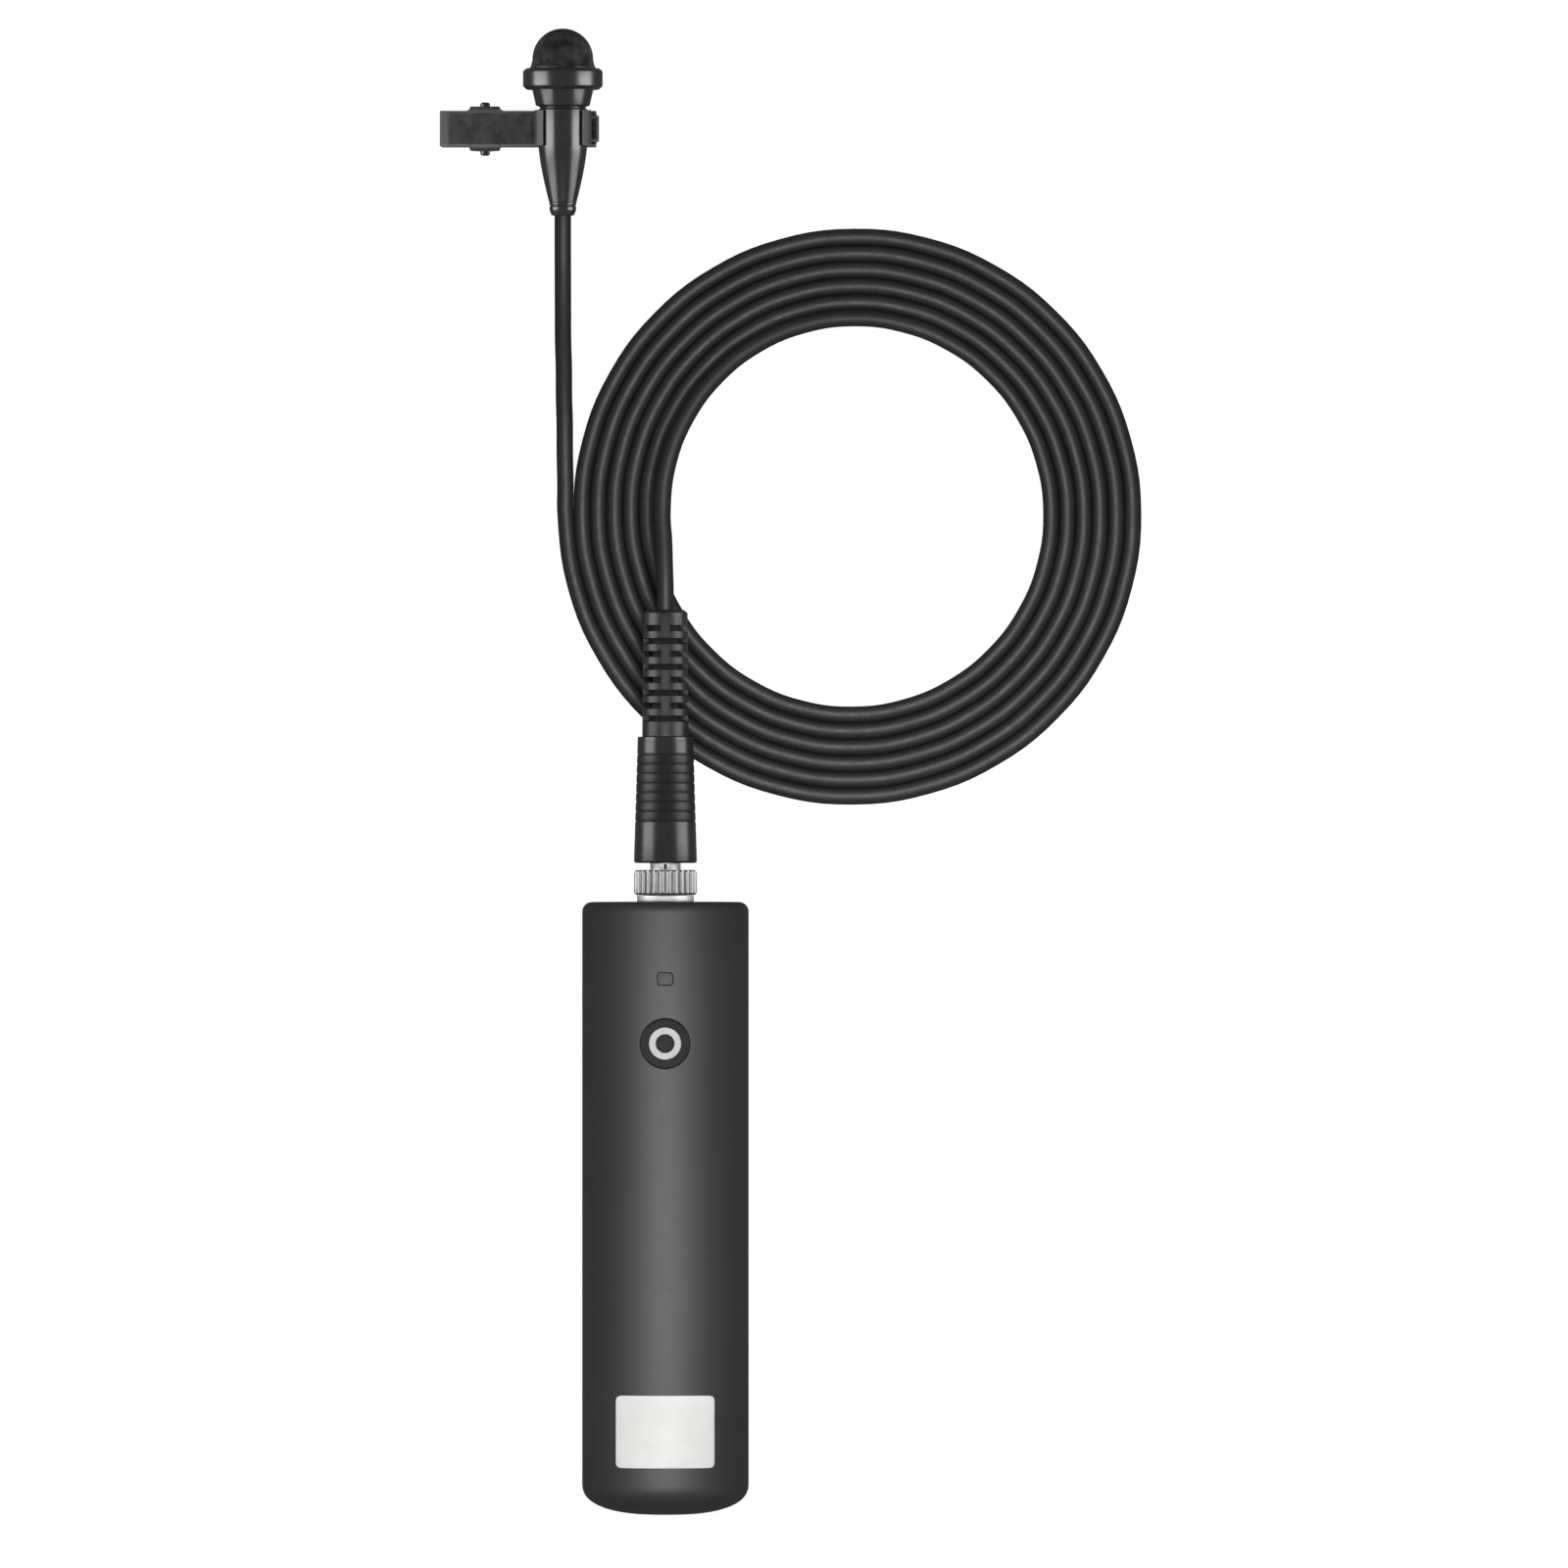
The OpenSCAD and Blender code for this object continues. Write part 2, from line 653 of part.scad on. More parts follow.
// A point of the spiral after t turns, raised to height z
function coil_point(t, z) =
    let (a = 180 + 360 * t, r = coil_r - coil_pitch * t)
    [coil_u + r * cos(a), coil_v + r * sin(a), z];
// Height of the innermost turn as it climbs, from 0 to 1 of the climb
climb_top_z = 10.1;
function climb(s) = cable_r + (climb_top_z - cable_r) * s * s * (2.2 - 1.2 * s);

climb_turns = 0.36;
lead_path = concat(lead_route, [for (k = [0 : 11]) coil_point(k * 0.025, cable_r)]);
tail_path = concat(
    [for (k = [0 : 12]) coil_point(coil_turns - climb_turns * (1 - k / 12), climb(k / 12))],
    tail_route
);

// A tube swept along a path: at each point a ring of corners square to the path
function unit(w) = w / norm(w);
function heading(path, i) = unit(path[min(i + 1, len(path) - 1)] - path[max(i - 1, 0)]);
function ring_at(path, i, r, sides) =
    let (t = heading(path, i), s = unit(cross(t, [0, 0, 1])), w = cross(s, t))
    [for (k = [0 : sides - 1]) path[i] + r * (cos(360 * k / sides) * s + sin(360 * k / sides) * w)];
module tube_along(path, d, sides = 8) {
    last = len(path) - 1;
    function at(i, k) = i * sides + k % sides;
    polyhedron(
        points = [for (i = [0 : last]) each ring_at(path, i, d / 2, sides)],
        faces = concat(
            [[for (k = [0 : sides - 1]) at(0, k)]],
            [for (i = [0 : last - 1], k = [0 : sides - 1])
                [at(i, k), at(i + 1, k), at(i + 1, k + 1), at(i, k + 1)]],
            [[for (k = [sides - 1 : -1 : 0]) at(last, k)]]
        )
    );
}

module cable_lead() color("#252526") at_tube() tube_along(lead_path, cable_d);
module cable_tail() color("#252526") at_tube() tube_along(tail_path, cable_d);

// The turns' band, as one flat ring; the spiral's own ring sits a quarter pitch off
coil_rim = coil_r + cable_r - 5 / 8 * coil_pitch;
coil_eye = coil_rim - (coil_turns - 1) * coil_pitch - cable_d;
module cable_coil() color("#1e1e1f")
    at_tube() translate([coil_u + coil_pitch / 4, coil_v - coil_pitch / 4, 0]) difference() {
        cylinder(r = coil_rim, h = cable_d, $fn = 96);
        translate([0, 0, -past])
            cylinder(r = coil_eye, h = cable_d + 2 * past, $fn = 96);
    }

// ---- Microphone ----
module mic_tail() color("#242425") on_mic_axis() rotate_extrude() polygon([
    [0, tail_v], [tail_r, tail_v], [tail_r, tail_v - tail_len / 2],
    [tail_r - 0.35, exit_v], [0, exit_v]
]);

// The taper's outline eases out of the straight body along a quarter of a cosine
function taper_arc() = [
    for (s = [0 : 0.1 : 1])
        [taper_d / 2 + (body_d - taper_d) / 2 * (cos(90 * s) + 1 - s) / 2,
            taper_v - taper_len * s]
];
groove_r = body_d / 2 - 0.2;
module mic_housing() color("#202021") on_mic_axis() difference() {
    rotate_extrude() polygon(concat(
        [[0, grille_seat_v], [spigot_r, grille_seat_v], [spigot_r, neck_v - 0.6],
            [spigot_r - 0.25, neck_v - 1], [spigot_r - 0.35, body_v + 0.9],
            [body_d / 2 + 0.25, body_v + 0.15], [groove_r, body_v + 0.1],
            [groove_r, body_v - 0.1], [body_d / 2, body_v - 0.2]],
        taper_arc(),
        [[0, tail_v]]
    ));
    disc(capsule_r + gasket_t, can_base_v - 0.4, grille_seat_v + past);
    disc(mic_bore_r, tail_v - past, grille_seat_v + past);
}

module mic_wires() color("#b03a34") on_mic_axis() for (s = [-1, 1])
    translate([s * 0.5, 0, 0]) disc(wire_r, tail_v, can_base_v + 0.1);

module capsule_gasket() color("#2a2a2a") on_mic_axis()
    ring(capsule_r + gasket_t, capsule_r, can_base_v + 0.4, grille_seat_v - 0.3);

module capsule_can() color("#b8babd") on_mic_axis() difference() {
    disc(capsule_r, can_base_v, can_v);
    disc(capsule_in_r, can_base_v - past, can_v - can_t);
    disc(0.8, can_v - past, can_v + past);
}

module capsule_board() color("#23593b") on_mic_axis()
    disc(capsule_in_r, can_base_v + 0.1, can_base_v + 0.1 + capsule_board_t);

module capsule_spacer() color("#d7d2c4") on_mic_axis()
    ring(capsule_in_r, capsule_in_r - 0.45, can_base_v + 0.1 + capsule_board_t,
        backplate_v - backplate_t);

module capsule_backplate() color("#c8a24a") on_mic_axis() difference() {
    disc(capsule_in_r, backplate_v - backplate_t, backplate_v);
    for (a = [0 : 90 : 270]) rotate(a) translate([1.2, 0, 0])
        disc(0.25, backplate_v - past, backplate_v + past);
}

module capsule_diaphragm() color("#cfd2d4") on_mic_axis()
    disc(capsule_in_r, backplate_v, backplate_v + diaphragm_t);

module acoustic_disc() color("#2d2d2d") on_mic_axis()
    disc(dome_r - grille_t - seat, can_v, can_v + 0.8);

module mic_collar() color("#161617") on_mic_axis() difference() {
    rotate_extrude() polygon([
        [0, collar_v], [collar_d / 2 - 0.5, collar_v], [collar_d / 2, collar_v - 0.4],
        [collar_d / 2, neck_v + 0.55], [collar_d / 2 - 0.6, neck_v], [0, neck_v]
    ]);
    disc(spigot_r + seat / 2, neck_v - past, collar_v + past);
    disc(grille_foot_r + seat / 2, grille_seat_v, collar_v + past);
}

// Woven dome, here as a thin shell with its rolled foot
module mic_grille() color("#2b2b2b") on_mic_axis() difference() {
    union() {
        translate([0, 0, dome_v]) sphere(dome_r);
        disc(dome_r, grille_seat_v, dome_v);
        disc(grille_foot_r, grille_seat_v, skirt_v);
    }
    translate([0, 0, dome_v]) sphere(dome_r - grille_t);
    disc(dome_r - grille_t, grille_seat_v - past, dome_v);
    disc(dome_r + past, dome_v - dome_r - past, grille_seat_v);
}

// ---- Clip ----

// A strip of sheet whose outline in reach and height is drawn across the clip
module strip(points, w) at_clip() rotate([90, 0, 0])
    linear_extrude(w, center = true) polygon(points);

lever_end = -clip_reach;
lip_run = 1.3;
pivot_x = -pivot_reach;
pivot_r = pivot_d / 2;
ear_r = 1.3;
ear_t = 0.55;
ear_in = jaw_w / 2 + 0.08;
lower_w = 2 * (ear_in - running);
tooth_x = tip_reach - 1.05;
tooth_t = 0.65;
notch_depth = 0.4;
cradle_w = jaw_w;
rivet_r = 0.6;

// Both ears of a jaw: they run from height z to the pin, with a hole for it
module ears(z, inside, hole_r) for (s = [-1, 1]) at_clip()
    translate([0, s * (inside + ear_t / 2), 0]) rotate([90, 0, 0])
        linear_extrude(ear_t, center = true) difference() {
            union() {
                polygon([[pivot_x - 2.2, z], [pivot_x + 2.2, z],
                    [pivot_x + ear_r, pivot_z], [pivot_x - ear_r, pivot_z]]);
                translate([pivot_x, pivot_z]) circle(ear_r);
            }
            translate([pivot_x, pivot_z]) circle(hole_r);
        }

module upper_jaw() color("#2e2e30") {
    top = upper_jaw_z + jaw_t;
    difference() {
        union() {
            strip([
                [lever_end, top + 0.75], [lever_end + 0.5, top + 1.05],
                [lever_end + lip_run + 0.35, top], [cradle_ro - 0.3, top],
                [cradle_ro - 0.3, upper_jaw_z], [lever_end + lip_run, upper_jaw_z]
            ], jaw_w);
            strip([
                [0, upper_jaw_z], [tip_reach, upper_jaw_z], [tip_reach, top], [0, top]
            ], jaw_w - 1.3);
            strip([
                [pivot_x - 2.2, upper_jaw_z], [pivot_x + 2.2, upper_jaw_z],
                [pivot_x + 2.2, top], [pivot_x - 2.2, top]
            ], 2 * (ear_in + ear_t));
        }
        at_clip() translate([tooth_x - 0.1, -1.45, upper_jaw_z - past])
            cube([tooth_t + 0.2, 2.9, jaw_t + 2 * past]);
        at_clip() translate([0, 0, upper_jaw_z - past]) cylinder(r = rivet_r + seat / 2, h = 3);
    }
    ears(upper_jaw_z + jaw_t / 2, ear_in, pivot_r + seat / 5);
}

module lower_jaw() color("#29292b") {
    difference() {
        strip([
            [lever_end + 0.15, 0.4], [lever_end + 0.6, 0], [lever_end + lip_run + 0.3, lever_drop],
            [tooth_x + tooth_t, lever_drop], [tooth_x + tooth_t, upper_jaw_z - running],
            [tooth_x, upper_jaw_z - running], [tooth_x, lower_jaw_z],
            [lever_end + lip_run, lower_jaw_z]
        ], lower_w);
        // Notches along the tip's upper edge leave its teeth
        for (s = [-1.5 : 1 : 1.5]) at_clip()
            translate([tooth_x - past, s * lower_w / 4, upper_jaw_z - running - notch_depth])
                rotate([45, 0, 0]) cube([tooth_t + 2 * past, 2 * notch_depth, 2 * notch_depth]);
    }
    ears(lever_drop + jaw_t / 2, ear_in - running - ear_t, pivot_r + running);
}

module pivot_pin() color("#3a3a3c") at_clip() translate([pivot_x, 0, pivot_z])
    rotate([90, 0, 0]) cylinder(r = pivot_r, h = pivot_len, center = true);

// Torsion spring: close turns round the pin and one leg on each lever
spring_turns = 7;
spring_wire_r = 0.22;
spring_pitch = 1.8 * spring_wire_r;
spring_r = pivot_r + 2 * spring_wire_r;
leg_reach = pivot_x - 4.3;
leg_r = 0.8 * spring_wire_r;
module clip_spring() color("#8f9296") at_clip() {
    side = (spring_turns - 1) / 2 * spring_pitch;
    translate([pivot_x, 0, pivot_z]) rotate([90, 0, 0]) rotate_extrude() polygon(concat(
        [[spring_r - spring_wire_r, side + spring_pitch / 2],
            [spring_r - spring_wire_r, -side - spring_pitch / 2]],
        [for (k = [0 : spring_turns - 1]) each [
            [spring_r + spring_wire_r / 2, (k - 0.5) * spring_pitch - side],
            [spring_r + spring_wire_r, k * spring_pitch - side]
        ]],
        [[spring_r + spring_wire_r / 2, side + spring_pitch / 2]]
    ));
    leg_v = side - spring_pitch / 4;
    rod([pivot_x, leg_v, pivot_z + spring_r],
        [leg_reach, leg_v, upper_jaw_z - leg_r - 0.03], leg_r);
    rod([pivot_x, -leg_v, pivot_z - spring_r],
        [leg_reach, -leg_v, lower_jaw_z + leg_r + 0.03], leg_r);
}

// C-shaped cradle with its foot, open at the top
module cradle_frame() at_clip() translate([0, 0, mic_z]) rotate([90, 0, 0]) children();
module clip_cradle() color("#262627") difference() {
    union() {
        cradle_frame() cylinder(r = cradle_ro, h = cradle_w, center = true);
        at_clip() translate([-2.4, -cradle_w / 2, upper_jaw_z + jaw_t])
            cube([4.8, cradle_w, 1.2]);
    }
    cradle_frame() cylinder(r = cradle_ri, h = cradle_w + 2 * past, center = true);
    cradle_frame() linear_extrude(cradle_w + 2 * past, center = true) polygon([
        [0, 0], [2 * cradle_ro * sin(cradle_open), 2 * cradle_ro * cos(cradle_open)],
        [-2 * cradle_ro * sin(cradle_open), 2 * cradle_ro * cos(cradle_open)]
    ]);
    at_clip() translate([0, 0, upper_jaw_z]) cylinder(r = rivet_r + seat / 2, h = 3);
}

module cradle_rivet() color("#77797c") at_clip() {
    translate([0, 0, upper_jaw_z - 0.4]) cylinder(r = 1.1, h = 0.4);
    translate([0, 0, upper_jaw_z - 0.2]) cylinder(r = rivet_r, h = jaw_t + 0.2 + cradle_lift + 0.45);
}

front_shell();
rear_shell();
case_screws();
write_on_panel();
button_cap();
button_ring();
button_switch();
lamp_window();
lamp_diode();
main_board();
radio_shield();
board_chips();
antenna();
cell();
cell_leads();
cell_socket();
usb_shell();
usb_tongue();
jack_collar();
jack_nut();
jack_body();
jack_contacts();
lock_ring();
plug_core();
plug_ring();
plug_tip();
plug_insulators();
plug_wires();
cable_crimp();
plug_sleeve();
cable_boot();
cable_tail();
cable_coil();
cable_lead();
mic_tail();
mic_housing();
mic_wires();
capsule_gasket();
capsule_can();
capsule_board();
capsule_spacer();
capsule_backplate();
capsule_diaphragm();
acoustic_disc();
mic_collar();
mic_grille();
clip_cradle();
cradle_rivet();
upper_jaw();
pivot_pin();
clip_spring();
lower_jaw();
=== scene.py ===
# A lavalier microphone with its coiled cable and its tubular pocket transmitter, laid out flat.
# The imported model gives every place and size; each section below dresses one piece or one group of like
# pieces. Lengths are in metres, +Z is up, +Y points from the transmitter to the microphone. Places named
# with a v count in millimetres along the tube from its top face, those with a u across from its axis.
import bpy
import bmesh
import numpy as np
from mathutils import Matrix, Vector


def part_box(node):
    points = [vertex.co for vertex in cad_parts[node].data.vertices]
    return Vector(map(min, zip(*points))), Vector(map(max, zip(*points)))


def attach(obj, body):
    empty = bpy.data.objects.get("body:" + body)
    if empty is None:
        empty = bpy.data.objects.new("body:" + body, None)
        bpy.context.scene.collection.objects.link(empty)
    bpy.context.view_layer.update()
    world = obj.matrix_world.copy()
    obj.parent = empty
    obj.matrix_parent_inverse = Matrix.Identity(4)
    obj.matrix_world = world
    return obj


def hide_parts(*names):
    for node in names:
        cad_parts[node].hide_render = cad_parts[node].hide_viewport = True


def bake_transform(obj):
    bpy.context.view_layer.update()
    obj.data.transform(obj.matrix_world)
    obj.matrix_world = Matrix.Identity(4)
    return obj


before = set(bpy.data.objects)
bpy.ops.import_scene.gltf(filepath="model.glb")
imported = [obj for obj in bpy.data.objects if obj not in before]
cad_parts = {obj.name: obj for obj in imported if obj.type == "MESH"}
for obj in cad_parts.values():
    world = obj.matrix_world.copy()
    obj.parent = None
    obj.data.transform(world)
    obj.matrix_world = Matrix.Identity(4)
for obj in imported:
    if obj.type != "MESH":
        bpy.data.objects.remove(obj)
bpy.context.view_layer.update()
mm = 0.001

# ---- Camera ----
# A long lens looks straight down from far above, so each piece shows its true outline.
def add(name, data):
    """A new object in the scene."""
    made = bpy.data.objects.new(name, data)
    bpy.context.scene.collection.objects.link(made)
    return made


camera_data = bpy.data.cameras.new("camera")
camera_data.lens = 600
camera_data.sensor_width = 36
camera_data.clip_end = 20
view_width, view_x, view_y, tube_middle_z = 225.9 * mm, 27.43 * mm, -1.81 * mm, 12 * mm
camera = add("camera", camera_data)
camera.location = (view_x, view_y, tube_middle_z + view_width * camera_data.lens / camera_data.sensor_width)
bpy.context.scene.camera = camera
bpy.context.scene.view_settings.view_transform = "Standard"

# ---- Table and light ----
# A wide pale table under a soft ceiling panel. A soft panel on each side of the microphone and of the plug,
# two over the tube and one over the coil give each piece its own highlight. Table and air look white to the
# camera and dimmer in gloss, and the table still takes the object's soft shadow.
def linked(tree, kind, inputs=(), **settings):
    """A shader node with its settings and its inputs: an input is a value or another node's socket."""
    node = tree.nodes.new("ShaderNode" + kind)
    for name, value in settings.items():
        setattr(node, name, value)
    for key, value in dict(inputs).items():
        if isinstance(value, bpy.types.NodeSocket):
            tree.links.new(value, node.inputs[key])
        else:
            node.inputs[key].default_value = value
    return node


def seen(tree, mirrored):
    """How far a ray sees the pale surroundings: the camera and glass see them fully, gloss sees a share.

    The value is max(camera, transmission, mirrored * glossy). It is 0 for the rays that carry the light that
    things get, which see a dim room, so the lamps alone do the lighting."""
    paths = linked(tree, "LightPath").outputs
    dimmed = linked(tree, "Math", {0: paths["Is Glossy Ray"], 1: mirrored}, operation="MULTIPLY")
    straight = {0: paths["Is Camera Ray"], 1: paths["Is Transmission Ray"]}
    direct = linked(tree, "Math", straight, operation="MAXIMUM")
    return linked(tree, "Math", {0: direct.outputs[0], 1: dimmed.outputs[0]}, operation="MAXIMUM").outputs[0]


world = bpy.data.worlds.new("studio")
bpy.context.scene.world = world
world.use_nodes = True
air = world.node_tree
air.nodes.clear()
glow = linked(air, "Background", {"Color": (1, 1, 1, 1), "Strength": 0.1})
white = linked(air, "Background", {"Color": (1, 1, 1, 1), "Strength": 1.0})
surroundings = linked(air, "MixShader", {0: seen(air, 0.17), 1: glow.outputs[0], 2: white.outputs[0]})
linked(air, "OutputWorld", {"Surface": surroundings.outputs[0]})

half_table = 1.5
table_mesh = bpy.data.meshes.new("table")
table_mesh.from_pydata(
    [(x * half_table, y * half_table, 0) for x, y in ((-1, -1), (1, -1), (1, 1), (-1, 1))], [], [(0, 1, 2, 3)]
)
table = add("table", table_mesh)
table_paint = bpy.data.materials.new("pale_table")
table_paint.use_nodes = True
coat = table_paint.node_tree
coat.nodes.clear()
matt = linked(coat, "BsdfDiffuse", {"Color": (0.07, 0.07, 0.07, 1)})
shade = linked(coat, "BsdfDiffuse", {"Color": (0.3, 0.3, 0.3, 1)})
lit = linked(coat, "Emission", {"Color": (1, 1, 1, 1), "Strength": 0.84})
pale = linked(coat, "AddShader", {0: shade.outputs[0], 1: lit.outputs[0]})
surface = linked(coat, "MixShader", {0: seen(coat, 0.08), 1: matt.outputs[0], 2: pale.outputs[0]})
linked(coat, "OutputMaterial", {"Surface": surface.outputs[0]})
table_mesh.materials.append(table_paint)

for name, place, target, size, watts, beam_angle, in_gloss in (
    ("ceiling_panel", (0.02, 0.0, 1.0), (0.02, 0.0, 0.0), (0.35, 0.5), 3.75, 180, False),
    ("left_mic_panel", (-0.205, 0.09, 0.094), (0.0, 0.09, 0.01), (0.085, 0.18), 0.25, 180, True),
    ("right_mic_panel", (0.205, 0.09, 0.094), (-0.005, 0.09, 0.01), (0.085, 0.18), 0.25, 180, True),
    ("left_plug_panel", (-0.195, 0.004, 0.094), (0.01, 0.004, 0.01), (0.05, 0.18), 0.09, 180, True),
    ("right_plug_panel", (0.215, 0.004, 0.094), (0.01, 0.004, 0.01), (0.05, 0.18), 0.09, 180, True),
    ("tube_panel", (0.0103, -0.066, 0.21), (0.0103, -0.066, 0.0), (0.34, 0.123), 0.088, 60, True),
    ("shell_panel", (0.0103, -0.063, 0.3), (0.0103, -0.063, 0.0), (0.5, 0.2), 0.38, 180, True),
    ("coil_panel", (0.0375, 0.0374, 0.25), (0.0375, 0.0374, 0.0), (0.05, 0.05), 0.45, 180, True),
):
    lamp_data = bpy.data.lights.new(name, "AREA")
    lamp_data.shape = "RECTANGLE"
    lamp_data.size, lamp_data.size_y = size
    lamp_data.energy = watts
    lamp_data.spread = np.radians(beam_angle)
    lamp_object = add(name, lamp_data)
    lamp_object.location = place
    lamp_object.rotation_euler = (Vector(target) - Vector(place)).to_track_quat("-Z", "Y").to_euler()
    lamp_object.visible_glossy = in_gloss
    lamp_object.visible_camera = False
side_panels = ("left_mic_panel", "right_mic_panel", "left_plug_panel", "right_plug_panel")


def link_light(made, state, *panels):
    """Keeps panels off a piece with the state EXCLUDE, or with INCLUDE lets them light such pieces alone."""
    for name in panels:
        linking = bpy.data.objects[name].light_linking
        if linking.receiver_collection is None:
            linking.receiver_collection = bpy.data.collections.new(name + "_receivers")
        linking.receiver_collection.objects.link(made)
        linking.receiver_collection.collection_objects[-1].light_linking.link_state = state


# ---- Cable ----
# One PVC-jacketed lead, 2.3 mm thick, with no joint in it. It leaves the microphone's tail, comes down to
# the table, lies in six turns of a flat spiral and climbs from the innermost turn into the plug's boot.
tube_low, tube_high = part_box("rear_shell")
tube_x = (tube_low.x + tube_high.x) / 2
tube_r = (tube_high.x - tube_low.x) / 2
top_y = tube_high.y
cable_d = 2.3 * mm
cable_mid = cable_d / mm / 2
press = 0.05 * mm  # the turns press together, so the soft jacket bulges a little
coil_u, coil_v, coil_r, coil_pitch, coil_turns = 27.1, 56.2, 41.6, 2.36, 6
points_per_turn = 24
climb_steps, climb_top = 9, 10.1  # the last steps of the coil climb to the height of the boot
climb_turns = climb_steps / points_per_turn
climb_lean = 0.1  # the climbing stretch leans this far over the turn beside it
lead_route = [
    [-14.8, 98.9, 10.39], [-14.8, 96.9, 10.39], [-14.8, 93, 10], [-14.8, 89, 9], [-14.8, 85, 7.6],
    [-14.8, 81, 5.9], [-14.7, 77, 4.2], [-14.7, 73, 2.8], [-14.6, 69, 1.8], [-14.6, 65, 1.3],
    [-14.5, 60, 1.15],
]
tail_route = [[-0.2, 52, 10.9], [-0.1, 48.5, 11.6], [0, 45, 12], [0, 42.1, 12]]


def coil_points(turns, height, lean=0):
    """Points of a flat spiral that starts on the left: radius = coil_r - coil_pitch * turns + lean.

    lean is how far the points lean over the turn outside them. All is in millimetres."""
    angle = np.pi + 2 * np.pi * turns
    radius = coil_r - coil_pitch * turns + lean
    return np.stack([coil_u + radius * np.cos(angle), coil_v + radius * np.sin(angle), height], axis=-1)


flat_turns = np.arange(0, coil_turns - climb_turns - 0.5 / points_per_turn, 1 / points_per_turn)
climb = np.linspace(0, 1, climb_steps + 1)
climb_height = cable_mid + (climb_top - cable_mid) * climb**2 * (2.2 - 1.2 * climb)
cable_points = np.concatenate([
    lead_route,
    coil_points(flat_turns, np.full(len(flat_turns), cable_mid)),
    coil_points(coil_turns - climb_turns * (1 - climb), climb_height, climb_lean * climb),
    tail_route,
]) * mm + [tube_x, top_y, 0]


def grain(tree, size, stretch, detail=3.0):
    """Noise in object coordinates with features of about the given size, longer along a stretched axis."""
    place = linked(tree, "TexCoord").outputs["Object"]
    scaled = linked(tree, "Mapping", {"Vector": place, "Scale": [1 / s for s in stretch]}).outputs["Vector"]
    return linked(tree, "TexNoise", {
        "Vector": scaled, "Scale": 0.5 / size, "Detail": detail, "Roughness": 0.55,
    }).outputs["Fac"]


def spread(tree, value, low, high):
    """Noise, most of which lies between 0.3 and 0.7, carried over to a number between low and high."""
    return linked(tree, "MapRange", {
        "Value": value, "From Min": 0.3, "From Max": 0.7, "To Min": low, "To Max": high,
    }).outputs["Result"]


def blend_colours(tree, share, *pair):
    """A colour between two, by a share from 0 to 1. Either is a colour or another node's socket."""
    first, second = [end if isinstance(end, bpy.types.NodeSocket) else (*end, 1) for end in pair]
    return linked(tree, "Mix", {0: share, 6: first, 7: second}, data_type="RGBA").outputs[2]


def finish(name, dark, light, rough, relief, size, patch=3, stretch=(1, 1, 1), **sockets):
    """A finish of two close tones in broad patches, gloss that changes at a middle size, and fine relief.

    dark and light are the tones and rough the least and greatest roughness. relief is the depth of the fine
    surface, size its grain and patch the size of the tones' patches, in millimetres. stretch makes all of
    them longer along an axis, and sockets are the shader's other constants."""
    material = bpy.data.materials.new(name)
    material.use_nodes = True
    tree = material.node_tree
    shader = tree.nodes["Principled BSDF"]
    tone = blend_colours(tree, spread(tree, grain(tree, patch * mm, stretch), 0, 1), dark, light)
    gloss = spread(tree, grain(tree, 4 * size * mm, stretch), *rough)
    height = grain(tree, size * mm, stretch, 2.0)
    bump = linked(tree, "Bump", {"Height": height, "Distance": relief * mm, "Strength": 1.0})
    for socket, value in (("Base Color", tone), ("Roughness", gloss), ("Normal", bump.outputs["Normal"])):
        tree.links.new(value, shader.inputs[socket])
    for socket, value in sockets.items():
        shader.inputs[socket.replace("_", " ")].default_value = value
    return material


def dress(made, material, body, slot, *nodes):
    """Gives a piece its finish and the body it rides on, and hides the nodes whose place it takes. slot is
    not used.
    """
    made.data.materials.append(material)
    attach(made, body)
    if nodes:
        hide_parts(*nodes)


curve = bpy.data.curves.new("cable", "CURVE")
curve.dimensions = "3D"
curve.bevel_depth = cable_d / 2 + press
curve.bevel_resolution = 10
curve.resolution_u = 5
curve.use_fill_caps = True
spline = curve.splines.new("BEZIER")
spline.bezier_points.add(len(cable_points) - 1)
spline.bezier_points.foreach_set("co", cable_points.ravel())
for knot in spline.bezier_points:
    knot.handle_left_type = knot.handle_right_type = "AUTO"
cable = add("cable", curve)
jacket = finish("cable_jacket", (0.009, 0.009, 0.0095), (0.013, 0.013, 0.0135), (0.5, 0.58), 0.004, 0.12, 6)
dress(cable, jacket, "microphone_lead", "cable_jacket", "cable_lead", "cable_coil", "cable_tail")
link_light(cable, "INCLUDE", "coil_panel")
link_light(cable, "EXCLUDE", *side_panels)

# ---- Transmitter's shells ----
# Two half tubes, moulded in charcoal plastic with a fine satin texture. They meet along both sides. The
# front one has holes for the button, the lamp and the charging port and a shallow pocket for the write-on
# panel, the rear one two wells for screws.
tube_z = tube_high.z
tube_axis = (tube_x, tube_z)
wall, edge_r, dome_h, dome_power = 1.2 * mm, 1.4 * mm, 4.6 * mm, 2.5
bush_hole_r = 3.75 * mm
rim_y = dome_h - (tube_high.y - tube_low.y)
columns = 121
middle = columns // 2
half_turn = np.linspace(-np.pi / 2, np.pi / 2, columns)


def quads(rows, across, wrap=False):
    """Faces of a grid of corners: each joins its neighbours, and the last column joins the first if wrap."""
    row, column = np.mgrid[0 : rows - 1, 0 : across if wrap else across - 1]
    beside = (column + 1) % across
    below = row + 1
    corners = [row * across + column, row * across + beside, below * across + beside, below * across + column]
    return np.stack(corners, axis=-1).reshape(-1, 4)


